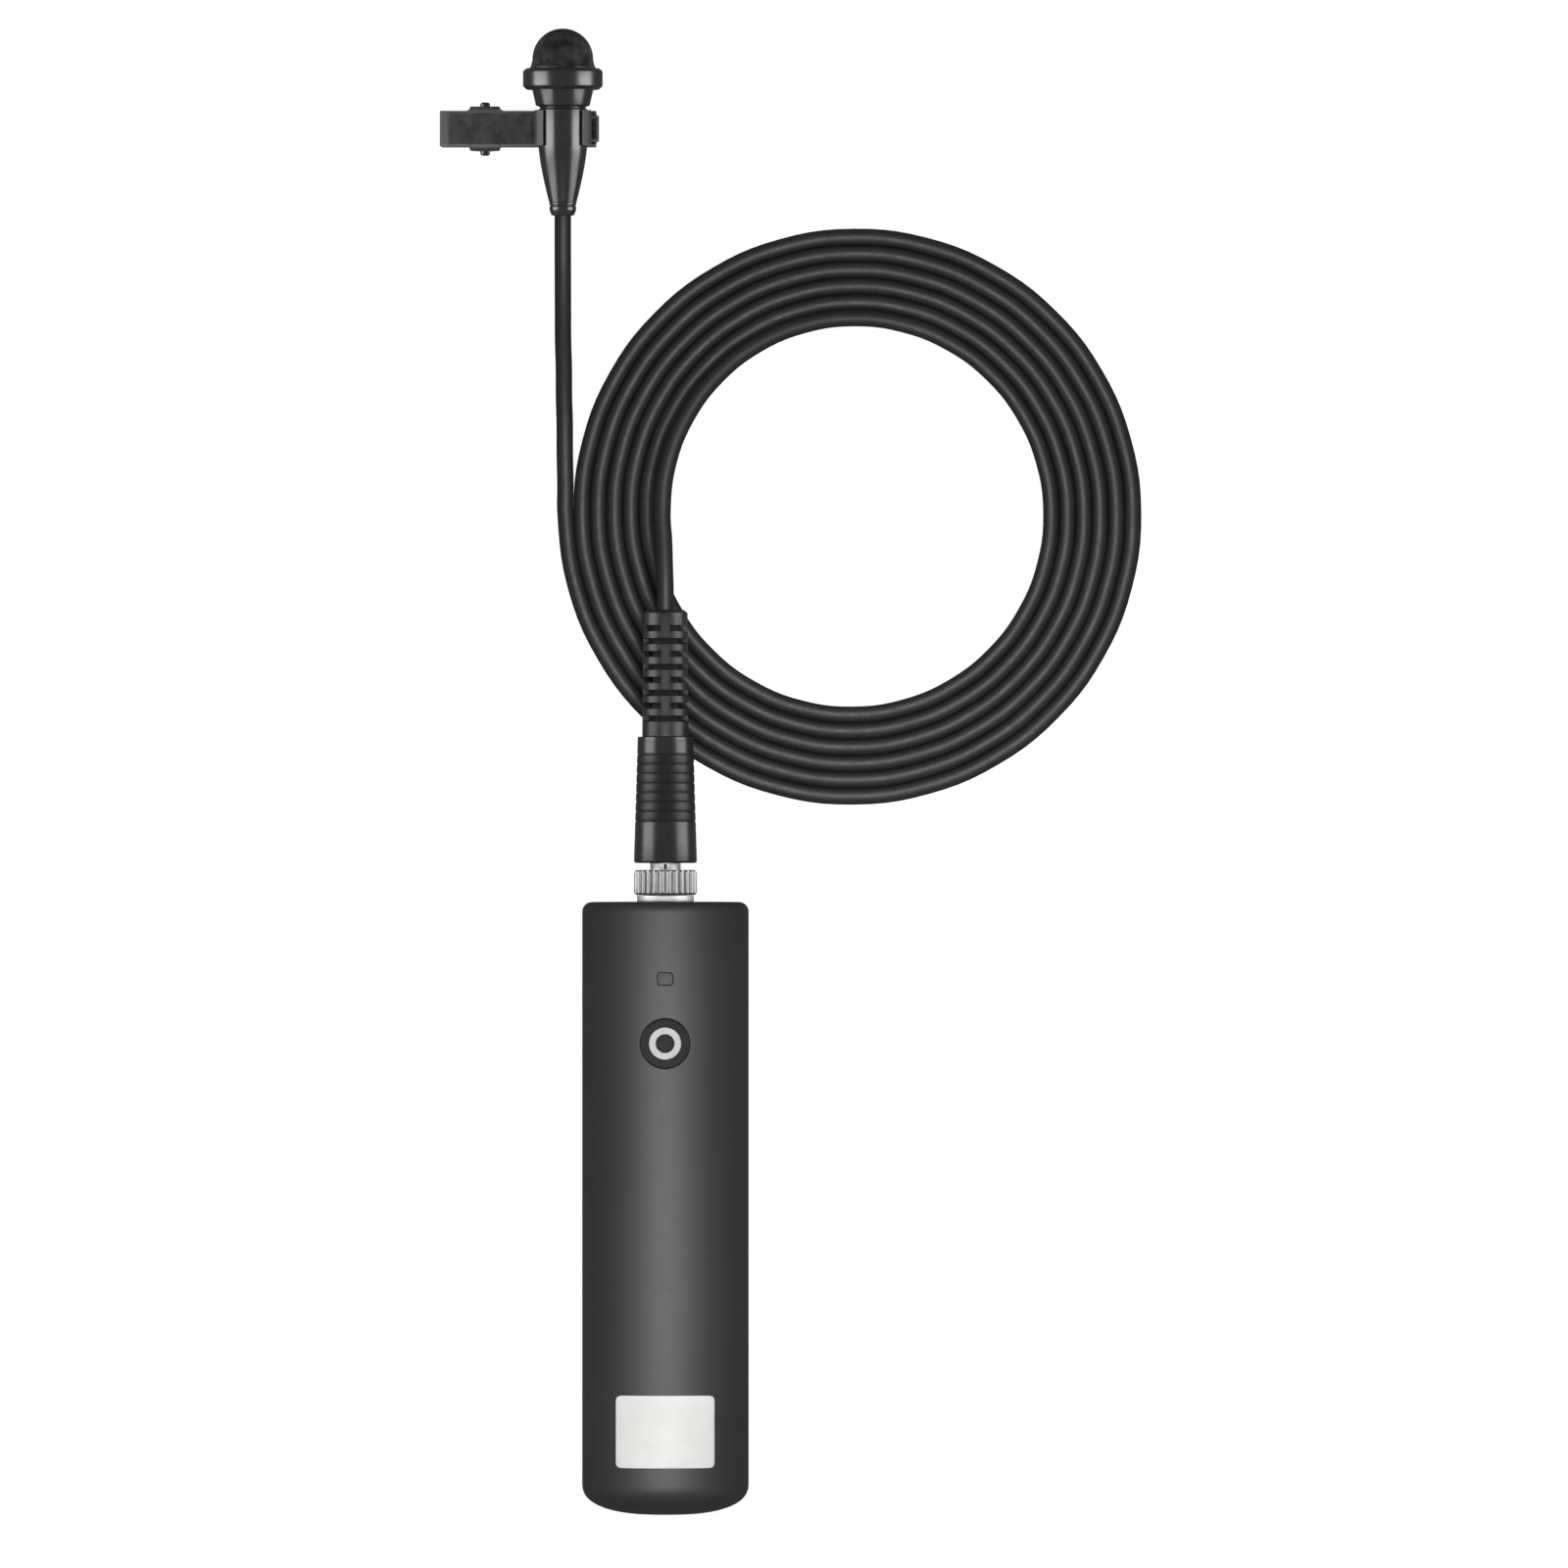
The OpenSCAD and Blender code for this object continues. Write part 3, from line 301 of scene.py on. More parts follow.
def piece(name, grids, sharp=40, merge=1e-7):
    """A mesh object from grids of corners, each a pair of an array (rows, columns, 3) and whether it wraps.

    Doubles are merged, which closes seams and poles, the faces are turned outwards, and edges that bend by
    more than the sharp angle in degrees stay crisp."""
    corners, faces, start = [], [], 0
    for grid, wrap in grids:
        corners.append(grid.reshape(-1, 3))
        faces.append(quads(*grid.shape[:2], wrap) + start)
        start += grid.shape[0] * grid.shape[1]
    mesh = bpy.data.meshes.new(name)
    mesh.from_pydata(np.concatenate(corners).tolist(), [], np.concatenate(faces).tolist())
    work = bmesh.new()
    work.from_mesh(mesh)
    bmesh.ops.remove_doubles(work, verts=work.verts, dist=merge)
    bmesh.ops.recalc_face_normals(work, faces=work.faces)
    work.to_mesh(mesh)
    work.free()
    mesh.polygons.foreach_set("use_smooth", np.ones(len(mesh.polygons), bool))
    mesh.set_sharp_from_angle(angle=np.radians(sharp))
    return add(name, mesh)


def on_tube(angle, radius, along):
    """Points round the tube's axis: angle from its top line, radius, and place along it from the top face."""
    angle, radius, along = np.broadcast_arrays(angle, radius, along)
    across, up = radius * np.sin(angle), radius * np.cos(angle)
    return np.stack([tube_x + across, top_y + along, tube_z + up], axis=-1)


def band(first, last, rows, left=0, right=columns - 1):
    """A plain stretch of the tube's wall between two places along it and two columns."""
    along = np.linspace(first, last, rows)[:, None]
    return on_tube(half_turn[None, left : right + 1], tube_r, along), False


def fan(outline, centre, hole, share):
    """Rows of points from a hole's edge, at share 0, to the outline round it, at share 1."""
    way = outline - centre
    inner = hole(np.arctan2(way[:, 1], way[:, 0]))
    return inner + (outline - inner) * share[:, None, None]


def holed_band(first, last, rows, column, reach, hole, recess=0):
    """A stretch of wall with a hole: a fan of quads runs from the hole's edge to the square round it.

    column is the one that the hole is centred on, and reach how many columns the square takes on each side.
    hole gives the hole's edge as arc length and place along, for directions from its middle. With a recess,
    the hole is no hole but a shallow pocket of that depth, with a sloped side and a floor."""
    along = np.linspace(first, last, rows)
    arc = half_turn[column - reach : column + reach + 1] * tube_r
    low, high = np.full(len(arc), first), np.full(len(arc), last)
    outline = np.concatenate([
        np.stack([arc, low], axis=-1), np.stack([np.full(rows - 2, arc[-1]), along[1:-1]], axis=-1),
        np.stack([arc[::-1], high], axis=-1), np.stack([np.full(rows - 2, arc[0]), along[-2:0:-1]], axis=-1),
    ])
    centre = np.array([arc[reach], (first + last) / 2])
    flat = fan(outline, centre, hole, np.linspace(0, 1, 12) ** 1.4)
    rings = on_tube(flat[..., 0] / tube_r, tube_r, flat[..., 1])
    if recess:
        floor = centre + (flat[0] - centre) * np.append(np.linspace(0, 0.8, 9), 0.982)[:, None, None]
        rings = np.concatenate([on_tube(floor[..., 0] / tube_r, tube_r - recess, floor[..., 1]), rings])
    return rings, True


def stretch_of_wall(first, last, rows, *holes):
    """Grids of a stretch of wall from one side to the other, with plain bands left and right of its holes.

    Each hole is its column, its reach, its edge and perhaps a recess, as holed_band takes them."""
    grids, left = [], 0
    for column, reach, *hole in holes:
        grids.append(band(first, last, rows, left, column - reach))
        grids.append(holed_band(first, last, rows, column, reach, *hole))
        left = column + reach
    return [*grids, band(first, last, rows, left)]


def round_hole(across, along, radius):
    """The edge of a round hole drilled straight down through the wall, at a distance across from the axis.

    Its points lie tube_r * arcsin(sideways / tube_r) from the wall's top line."""
    def edge(angle):
        sideways = np.clip((across + radius * np.cos(angle)) / tube_r, -1, 1)
        return np.stack([np.arcsin(sideways) * tube_r, along + radius * np.sin(angle)], axis=-1)
    return edge


def superellipse(angle, half_width, half_length, power):
    """Points on a rounded rectangle's edge, |x / half_width|^power + |y / half_length|^power = 1.

    angle is the direction from its middle, and a higher power is boxier."""
    c, s = np.cos(angle), np.sin(angle)
    reach = (np.abs(c / half_width) ** power + np.abs(s / half_length) ** power) ** (-1 / power)
    return np.stack([reach * c, reach * s], axis=-1)


def dome_drop(radius):
    """How far the domed base reaches below its rim at a distance from the axis.

    (drop / dome_h)^dome_power + (radius / tube_r)^dome_power = 1, a superellipse."""
    return dome_h * (1 - np.clip(radius / tube_r, 0, 1) ** dome_power) ** (1 / dome_power)


port_low, port_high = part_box("usb_shell")
port_gap = 0.25 * mm
port_middle = np.array([0, (port_low.z + port_high.z) / 2 - tube_z])


def port_edge(angle):
    """The charging port's mouth in the base: two half circles joined by straight sides."""
    r = (port_high.z - port_low.z) / 2 + port_gap
    straight = (port_high.x - port_low.x) / 2 + port_gap - r
    c, s = np.abs(np.cos(angle)), np.abs(np.sin(angle))
    on_end = straight * c + np.sqrt(np.maximum(r**2 - (straight * s) ** 2, 0))
    reach = np.where(r * c <= straight * s, r / np.maximum(s, 1e-9), on_end)
    return port_middle + np.stack([reach * np.cos(angle), reach * np.sin(angle)], axis=-1)


def tube_ends(has_port):
    """Grids of the top face with its rounded edge, the domed base's side and the base's own face.

    The edge is a quarter circle, the side follows dome_drop(), and the face may have the port's mouth."""
    bend = np.radians(np.arange(10, 91, 10))
    face_radius = np.linspace(bush_hole_r, tube_r - edge_r, 7)
    top_radius = np.append(face_radius, tube_r - edge_r + edge_r * np.sin(bend))
    top_along = np.append(0 * face_radius, edge_r * (np.cos(bend) - 1))
    rim_radius = tube_r * np.cos(np.radians(np.linspace(0, 34, 12))) ** (2 / dome_power)
    edge = np.stack([rim_radius[-1] * np.sin(half_turn), rim_radius[-1] * np.cos(half_turn)], axis=-1)
    if has_port:
        chord = np.linspace(edge[-1], edge[0], 61)[1:-1]
        flat = fan(np.concatenate([edge, chord]), port_middle, port_edge, np.linspace(0, 1, 14))
    else:
        flat = edge * np.linspace(1, 0, 24)[:, None, None]
    drop = dome_drop(np.linalg.norm(flat, axis=-1))
    base = np.stack([tube_x + flat[..., 0], top_y + rim_y - drop, tube_z + flat[..., 1]], axis=-1)
    return [
        (on_tube(half_turn, top_radius[:, None], top_along[:, None]), False),
        (on_tube(half_turn, rim_radius[:, None], rim_y - dome_drop(rim_radius)[:, None]), False),
        (base, has_port),
    ]


def flat_edge(half, power, place):
    """The edge of a rounded rectangle in the wall, centred over the axis at a place along y."""
    return lambda angle: superellipse(angle, *half, power) + [0, place - top_y]


button_low, button_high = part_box("button_cap")
lamp_low, lamp_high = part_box("lamp_window")
panel_low, panel_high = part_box("write_on_panel")
screw_low, screw_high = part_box("case_screws")
button_y, lamp_y = (button_low.y + button_high.y) / 2, (lamp_low.y + lamp_high.y) / 2
panel_y, screw_y = (panel_low.y + panel_high.y) / 2, (screw_low.y + screw_high.y) / 2
button_r, well_r, fit_gap = 3.6 * mm, 1.6 * mm, 0.06 * mm
lamp_half = np.array([lamp_high.x - lamp_low.x, lamp_high.y - lamp_low.y]) / 2
panel_half = [np.arcsin((panel_high.x - panel_low.x) / 2 / tube_r) * tube_r, (panel_high.y - panel_low.y) / 2]
screw_x = (screw_high.x - screw_low.x) / 2 - 1.5 * mm
well_column = round(np.degrees(np.arcsin(screw_x / tube_r)) * (columns - 1) / 180)
lamp_rows, button_rows, panel_rows, well_rows = [
    (y - top_y + half, y - top_y - half)
    for y, half in ((lamp_y, 2.6 * mm), (button_y, 5 * mm), (panel_y, 6.4 * mm), (screw_y, 2.9 * mm))
]
lamp_power, panel_power, pocket_depth = 5, 20, 0.03 * mm
lamp_hole = flat_edge(lamp_half + fit_gap, lamp_power, lamp_y)
panel_pocket = flat_edge(panel_half, panel_power, panel_y)
button_hole = round_hole(0, button_y - top_y, button_r + fit_gap)
well_holes = [
    (middle + side * well_column, 9, round_hole(side * screw_x, screw_y - top_y, well_r)) for side in (-1, 1)
]
front_half = piece("front_half_shell", [
    *stretch_of_wall(-edge_r, lamp_rows[0], 16),
    *stretch_of_wall(*lamp_rows, 17, (middle, 8, lamp_hole)),
    *stretch_of_wall(lamp_rows[1], button_rows[0], 5),
    *stretch_of_wall(*button_rows, 33, (middle, 16, button_hole)),
    *stretch_of_wall(button_rows[1], panel_rows[0], 45),
    *stretch_of_wall(*panel_rows, 41, (middle, 28, panel_pocket, pocket_depth)),
    *stretch_of_wall(panel_rows[1], rim_y, 5),
    *tube_ends(True),
])
rear_grids = [
    *stretch_of_wall(-edge_r, well_rows[0], 70),
    *stretch_of_wall(*well_rows, 19, *well_holes),
    *stretch_of_wall(well_rows[1], rim_y, 8),
    *tube_ends(False),
]
for grid, _ in rear_grids:
    grid[..., 2] = 2 * tube_z - grid[..., 2]
rear_half = piece("rear_half_shell", rear_grids)
shell_plastic = finish(
    "soft_charcoal_plastic", (0.017, 0.017, 0.018), (0.023, 0.023, 0.024), (0.53, 0.57), 0.01, 0.14, 14,
    Specular_IOR_Level=0.8,
)
for shell, node in ((front_half, "front_shell"), (rear_half, "rear_shell")):
    thickness = shell.modifiers.new("wall", "SOLIDIFY")
    thickness.thickness = wall
    thickness.offset = -1
    thickness.use_even_offset = True
    rounding = shell.modifiers.new("edges", "BEVEL")
    rounding.width = 0.13 * mm
    rounding.segments = 2
    rounding.limit_method = "ANGLE"
    rounding.angle_limit = np.radians(50)
    dress(shell, shell_plastic, "transmitter", "shell_charcoal", node)
    link_light(shell, "EXCLUDE", *side_panels)
    link_light(shell, "INCLUDE", "shell_panel")

# ---- Screw wells ----
# Two round posts moulded inside the rear shell. Each holds the head of a case screw, which pulls the front
# shell down on the rear one, so a driver reaches it through the hole in the wall.
post_r, shank_gap_r, head_seat = 2.4 * mm, 0.9 * mm, 4.0 * mm


def full_turn(count):
    """Angles spread evenly once round."""
    return np.linspace(0, 2 * np.pi, count, endpoint=False)


def screw_well(across):
    """A hollow post, turned about the screw's axis: each row of its profile is a circle.

    Its foot follows the curved wall, tube_z - sqrt(r^2 - across^2), and its bore steps in at the head."""
    angle = full_turn(48)
    rows = []
    for radius, height in ((post_r, 0), (well_r, 0), (well_r, head_seat), (shank_gap_r, head_seat),
            (shank_gap_r, tube_z), (post_r, tube_z), (post_r, 0)):
        sideways = across + radius * np.cos(angle)
        foot = tube_z - np.sqrt((tube_r - wall / 2) ** 2 - sideways**2)
        along = screw_y + radius * np.sin(angle)
        rows.append(np.stack([tube_x + sideways, along, np.maximum(height, foot)], axis=-1))
    return np.array(rows), True


def skin(material, *nodes):
    """Gives solids that are seen as they are a finish of their own."""
    for node in nodes:
        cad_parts[node].data.materials[0] = material


wells = piece("screw_wells", [screw_well(-screw_x), screw_well(screw_x)])
dress(wells, shell_plastic, "transmitter", "shell_charcoal")
metal = {"Metallic": 1.0}
screw_steel = finish(
    "bright_screw_steel", (0.42, 0.43, 0.45), (0.55, 0.56, 0.58), (0.22, 0.4), 0.003, 0.08, 0.6, **metal,
)
skin(screw_steel, "case_screws")

# ---- Power button ----
# A round cap moulded in near-black plastic and held in by its flange under the front shell. A groove in its
# flat face holds a pale ring. The face stands a hair proud of the tube's curve at two sides.
def unit(vectors):
    """Vectors made one long."""
    return vectors / np.linalg.norm(vectors, axis=-1, keepdims=True)


def filleted(corners, cut, steps=4):
    """A profile with its inner corners rounded: each becomes a quadratic curve between its two sides.

    cut is how far from the corner the curve starts, at most just under half of the shorter side."""
    corners = np.asarray(corners, float)
    share = np.linspace(0, 1, steps)[:, None]
    rounded = [corners[:1]]
    for before, corner, after in zip(corners, corners[1:], corners[2:]):
        sides = before - corner, after - corner
        reach = min(cut, *(0.45 * np.linalg.norm(side) for side in sides))
        first, last = [corner + unit(side) * reach for side in sides]
        rounded.append(first * (1 - share) ** 2 + 2 * corner * share * (1 - share) + last * share**2)
    return np.concatenate([*rounded, corners[-1:]])


def turned(profile, centre, start=top_y, around=96, cut_in=None):
    """A turned grid: each row of the profile, a place along the axis and a radius, goes once round the axis.

    The profile is in millimetres. The axis lies along y, centre is its x and z and places count from start.
    Without a start it is upright and centre is its x and y. cut_in takes the grids of angles, places and
    radii and gives the radii back, cut by flutes or slots."""
    angle = full_turn(around) if np.isscalar(around) else around
    place, radius = (np.asarray(profile, float) * mm).T[:, :, None]
    angle, place, radius = np.broadcast_arrays(angle, place + (start or 0), radius)
    if cut_in:
        radius = cut_in(angle, place, radius)
    first, second = centre[0] + radius * np.sin(angle), centre[1] + radius * np.cos(angle)
    return np.stack([first, second, place] if start is None else [first, place, second], axis=-1), True


def lathe(name, profile, centre, sharp=40, **how):
    """A turned piece, with the profile, the centre and the rest as turned() takes them."""
    return piece(name, [turned(profile, centre, **how)], sharp)


cap_top, cap_foot, cap_r = button_high.z / mm, button_low.z / mm, button_r / mm
flange_foot, flange_top, flange_out, stalk_r = 21.15, 21.75, 4.2, 1.4
ring_in, ring_out, ring_depth, ring_gap = 1.33, 2.33, 0.3, 0.03
cap = lathe("button_cap_moulded", filleted([
    (cap_top - 0.05, 0), (cap_top - 0.05, ring_in - ring_gap), (cap_top - ring_depth, ring_in - ring_gap),
    (cap_top - ring_depth, ring_out + ring_gap), (cap_top, ring_out + ring_gap), (cap_top, cap_r),
    (flange_top, cap_r), (flange_top, flange_out), (flange_foot, flange_out), (flange_foot, stalk_r),
    (cap_foot, stalk_r), (cap_foot, 0),
], 0.16), (tube_x, button_y), start=None)
dress(cap, finish(
    "near_black_plastic", (0.009, 0.009, 0.0095), (0.015, 0.015, 0.016), (0.42, 0.54), 0.003, 0.12, 2,
    Specular_IOR_Level=0.15,
), "button", "button_black", "button_cap")
ring = lathe("button_ring_inlay", filleted([
    (cap_top - ring_depth, ring_in), (cap_top + 0.02, ring_in), (cap_top + 0.02, ring_out),
    (cap_top - ring_depth, ring_out), (cap_top - ring_depth, ring_in),
], 0.12), (tube_x, button_y), start=None)
dress(ring, finish(
    "pale_ring_plastic", (0.35, 0.353, 0.356), (0.42, 0.424, 0.428), (0.3, 0.42), 0.002, 0.1, 1.5,
), "button", "ring_white", "button_ring")

# ---- Lamp window ----
# A small smoked lens pressed into the shell from inside. The stem moulded on it brings the diode's light up,
# and the lens looks like a slightly darker patch until the lamp is on.
def flush_plate(edge, middle_y, depth):
    """A plate let into the tube's top: its face follows the tube's curve, its foot lies depth below it."""
    share = np.concatenate([np.linspace(0, 0.97, 14), [0.99, 1, 1, 1, 0]])
    drop = np.concatenate([np.zeros(14), [0.015 * mm, 0.05 * mm, depth / 2, depth, depth]])
    flat = edge * share[:, None, None]
    return on_tube(flat[..., 0] / tube_r, tube_r - drop[:, None], middle_y - top_y + flat[..., 1]), True


stem_foot, stem_top, stem_r = lamp_low.z / mm, lamp_high.z / mm - 1.4, 0.8
stem_profile = [(stem_foot, 0), (stem_foot, stem_r), (stem_top, stem_r), (stem_top, 0)]
lens = piece("lamp_lens", [
    flush_plate(superellipse(full_turn(96), *lamp_half, lamp_power), lamp_y, 1.3 * mm),
    turned(stem_profile, (tube_x, lamp_y), start=None, around=32),
])
dress(lens, finish(
    "smoked_lens", (0.012, 0.014, 0.013), (0.018, 0.02, 0.019), (0.3, 0.42), 0.001, 0.1, 1,
    Specular_IOR_Level=0.4,
), "transmitter", "lamp_clear", "lamp_window")

# ---- Write-on panel ----
# A blank pale film with rounded corners, bonded flush into the front shell near the base, where its owner
# can write a channel or a name.
film_edge = superellipse(full_turn(192), *panel_half, panel_power)
panel = piece("blank_write_on_panel", [flush_plate(film_edge, panel_y, 0.12 * mm)])
panel_film = finish("pale_writable_film", (0.66, 0.66, 0.65), (0.73, 0.73, 0.72), (0.42, 0.6), 0.004, 0.15)
dress(panel, panel_film, "transmitter", "panel_pale", "write_on_panel")

# ---- Charging port ----
# A folded steel shell in the domed base with a moulded tongue inside it, and twelve gilt contacts along
# the tongue's upper face.
skin(finish(
    "drawn_port_steel", (0.46, 0.47, 0.48), (0.56, 0.57, 0.58), (0.24, 0.4), 0.003, 0.06, 1, (1, 6, 1),
    **metal,
), "usb_shell")
skin(finish(
    "port_tongue_plastic", (0.016, 0.016, 0.017), (0.024, 0.024, 0.025), (0.4, 0.55), 0.003, 0.08, 1,
), "usb_tongue")
tongue_low, tongue_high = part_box("usb_tongue")
contact_count, contact_pitch, contact_half = 12, 0.5 * mm, 0.13 * mm
contact_y = (tongue_low.y + 0.3 * mm, tongue_high.y - 1 * mm)
contact_z = (tongue_high.z - 0.02 * mm, tongue_high.z + 0.04 * mm)


def contact(x):
    """A flat bar along y: a closed strip round its section, drawn to a point in the middle of each end."""
    section = [(-contact_half, 0), (contact_half, 0), (contact_half, 1), (-contact_half, 1)]
    ring = np.array([(x + side, 0, contact_z[up]) for side, up in section])
    rows = [ring.mean(axis=0) + 0 * ring, ring, ring, ring.mean(axis=0) + 0 * ring]
    return np.array(rows) + np.outer(np.repeat(contact_y, 2), [0, 1, 0])[:, None], True


tongue_x = (tongue_low.x + tongue_high.x) / 2
contacts = piece("port_contacts", [
    contact(tongue_x + (k - (contact_count - 1) / 2) * contact_pitch) for k in range(contact_count)
], merge=1e-8)
gilt = finish("gilt_contact", (0.62, 0.44, 0.16), (0.72, 0.53, 0.22), (0.18, 0.34), 0.002, 0.05, 0.5, **metal)
dress(contacts, gilt, "transmitter", "brass_gold")

# ---- Inside the transmitter ----
# The circuit board hangs under the front shell's button, the cell lies below it in two ribs, and the
# jack's moulded body sits behind its bush. Each keeps its solid and gets its own finish.
board_mask = finish(
    "green_solder_mask", (0.008, 0.07, 0.028), (0.014, 0.1, 0.042), (0.18, 0.32), 0.002, 0.2, 4,
    Coat_Weight=0.3, Coat_Roughness=0.15,
)
board_tree = board_mask.node_tree
board_colour = board_tree.nodes["Principled BSDF"].inputs["Base Color"]
tracks = linked(board_tree, "TexBrick", {
    "Vector": linked(board_tree, "TexCoord").outputs["Object"],
    "Color1": (1, 1, 1, 1), "Color2": (1, 1, 1, 1), "Mortar": (0, 0, 0, 1),
    "Scale": 1 / (4 * mm), "Mortar Size": 0.03, "Brick Width": 0.9, "Row Height": 0.35,
})
mask_tone = board_colour.links[0].from_socket
tracked = blend_colours(board_tree, tracks.outputs["Color"], (0.03, 0.16, 0.07), mask_tone)
board_tree.links.new(tracked, board_colour)
skin(board_mask, "main_board")
for node, *looks, sockets in (
    ("radio_shield", "tinned_can",
        (0.5, 0.51, 0.52), (0.62, 0.63, 0.64), (0.2, 0.42), 0.004, 0.15, 2, metal),
    ("board_chips", "chip_epoxy",
        (0.014, 0.014, 0.015), (0.024, 0.024, 0.026), (0.5, 0.66), 0.006, 0.08, 1, {}),
    ("antenna", "fired_ceramic",
        (0.6, 0.54, 0.42), (0.7, 0.65, 0.53), (0.4, 0.55), 0.005, 0.1, 1, {}),
    ("cell", "blue_shrink_film",
        (0.022, 0.09, 0.2), (0.04, 0.13, 0.27), (0.2, 0.34), 0.006, 0.8, 6, {"Coat_Weight": 0.2}),
    ("cell_leads", "red_silicone",
        (0.36, 0.02, 0.015), (0.48, 0.035, 0.025), (0.4, 0.52), 0.003, 0.1, 1, {}),
    ("cell_socket", "cream_nylon",
        (0.68, 0.64, 0.52), (0.78, 0.74, 0.62), (0.36, 0.5), 0.004, 0.12, 1, {}),
    ("button_switch", "switch_plastic",
        (0.014, 0.014, 0.016), (0.024, 0.024, 0.026), (0.4, 0.56), 0.004, 0.1, 1, {}),
    ("lamp_diode", "diode_resin",
        (0.7, 0.66, 0.46), (0.84, 0.8, 0.62), (0.15, 0.28), 0.002, 0.1, 0.5, {"Coat_Weight": 0.4}),
    ("jack_body", "jack_moulding",
        (0.014, 0.014, 0.017), (0.022, 0.022, 0.025), (0.36, 0.5), 0.005, 0.12, 2, {}),
    ("jack_contacts", "gilt_spring",
        (0.6, 0.43, 0.16), (0.72, 0.54, 0.23), (0.2, 0.36), 0.002, 0.06, 0.6, metal),
    ("jack_nut", "turned_brass",
        (0.56, 0.44, 0.2), (0.68, 0.56, 0.3), (0.24, 0.4), 0.004, 0.05, 1, metal),
):
    skin(finish(*looks, **sockets), node)

# ---- Jack collar ----
# The bush of the jack: a plain nickel-plated collar stands on the tube's top face, and its barrel goes
# through the shells to the nut inside.
def extent(node):
    """A node's start and end along the tube from its top face and its greatest radius, in millimetres."""
    low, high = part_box(node)
    return (low.y - top_y) / mm, (high.y - top_y) / mm, (high.x - low.x) / 2 / mm


_, rise, flange_r = extent("jack_collar")
bush_bore_r, barrel_r, barrel_foot_v, seat_gap = 3.1, 3.65, -3, 0.02
bush = lathe("jack_bush", filleted([
    (rise, bush_bore_r), (rise, flange_r), (seat_gap, flange_r), (seat_gap, barrel_r),
    (barrel_foot_v, barrel_r), (barrel_foot_v, bush_bore_r), (rise, bush_bore_r),
], 0.14), tube_axis)
nickel = finish(
    "turned_nickel", (0.76, 0.765, 0.775), (0.85, 0.855, 0.865), (0.5, 0.6), 0.0003, 0.06, 0.5, (20, 1, 20),
    **metal,
)
dress(bush, nickel, "transmitter", "nickel", "jack_collar")

# ---- Lock ring ----
# A nickel-plated ring that turns freely on the plug's core, with thirty rounded flutes for the fingers and
# a threaded nose that screws into the jack's bush.
nose_v, rim_top_v, lock_r = extent("lock_ring")
rim_foot_v = rim_top_v - 3.6
lock_bore_r, thread_r, thread_pitch, thread_depth = 2.25, 3.0, 0.5, 0.14
bevel_in, bevel_down, dish = 0.34, 0.32, 0.12
flutes, flute_depth, flute_share, points_per_flute = 30, 0.24, 0.36, 12


def fluted(angle, place, radius):
    """Radii cut by rounded flutes: each flute is half an ellipse across its share of the pitch."""
    phase = (angle * flutes / (2 * np.pi) + 0.5) % 1 - 0.5
    cut = flute_depth * np.sqrt(np.clip(1 - (phase / flute_share) ** 2, 0, 1))
    on_rim = place > (top_y + (rim_foot_v - 0.01) * mm)
    return np.where(on_rim & (radius > 3.2 * mm), np.minimum(radius, (lock_r - cut) * mm), radius)


def threaded(low, high, radius, pitch, depth):
    """A thread's profile, drawn as rings: radius - depth * |cos(pi * (place - low) / pitch)|."""
    place = np.arange(low, high, pitch / 4)
    return np.stack([place, radius - depth * np.abs(np.cos(np.pi * (place - low) / pitch))], axis=-1)


lock = lathe("fluted_lock_ring", np.concatenate([
    filleted([(rim_top_v, lock_bore_r), (rim_top_v, 2.9), (rim_top_v - dish, 3.0), (rim_top_v - dish, 3.5),
        (rim_top_v, 3.6), (rim_top_v, lock_r - bevel_in), (rim_top_v - bevel_down, lock_r),
        (rim_foot_v + bevel_down, lock_r), (rim_foot_v, lock_r - bevel_in), (rim_foot_v, thread_r),
        (rim_foot_v - 0.4, 2.85)], 0.08),
    threaded(nose_v + 0.15, rim_foot_v - 0.5, thread_r, thread_pitch, thread_depth)[::-1],
    [(nose_v, 2.85), (nose_v, 2.6), (nose_v + 0.15, 2.6), (nose_v + 0.15, lock_bore_r),
        (rim_top_v, lock_bore_r)],
]), tube_axis, sharp=50, around=flutes * points_per_flute, cut_in=fluted)
# The ring's nickel is a darker copy of the jack collar's: painted shade that keeps the fluted ring dimmer
# than the collar.
dress(lock, finish(
    "shaded_fluted_nickel", (0.44, 0.445, 0.455), (0.53, 0.535, 0.545), (0.36, 0.46), 0.0003, 0.06, 0.8, **metal,
), "lock_ring", "nickel", "lock_ring")
link_light(lock, "EXCLUDE", "tube_panel")

# ---- Plug core and pin ----
# The plug's turned core carries the earth contact of its pin. Between lock ring and sleeve a short bare
# neck shows, with narrow slots round it. Ring and tip contacts follow on the pin, with insulators between.
core_foot_v, core_top_v, _ = extent("plug_core")
shank_r, stop_v, stop_top_v, stop_r = 1.75, -2.35, -1.85, 2.55
head_v, head_r = 6.8, 2.9
neck_slots, neck_r, slot_v, slot_top_v, slot_step = 6, 2.2, 4.72, 5.5, 0.02


def smooth(value, low, high):
    """0 below low, 1 above high and share^2 * (3 - 2 * share) between."""
    share = np.clip((value - low) / (high - low), 0, 1)
    return share * share * (3 - 2 * share)


def mark(made, name, share):
    """Stores a share from 0 to 1 at each corner of a mesh, worked out from the corners' places."""
    points = np.empty(3 * len(made.data.vertices))
    made.data.vertices.foreach_get("co", points)
    stored = made.data.attributes.new(name, "FLOAT", "POINT")
    stored.data.foreach_set("value", share(points.reshape(-1, 3)).astype(float))


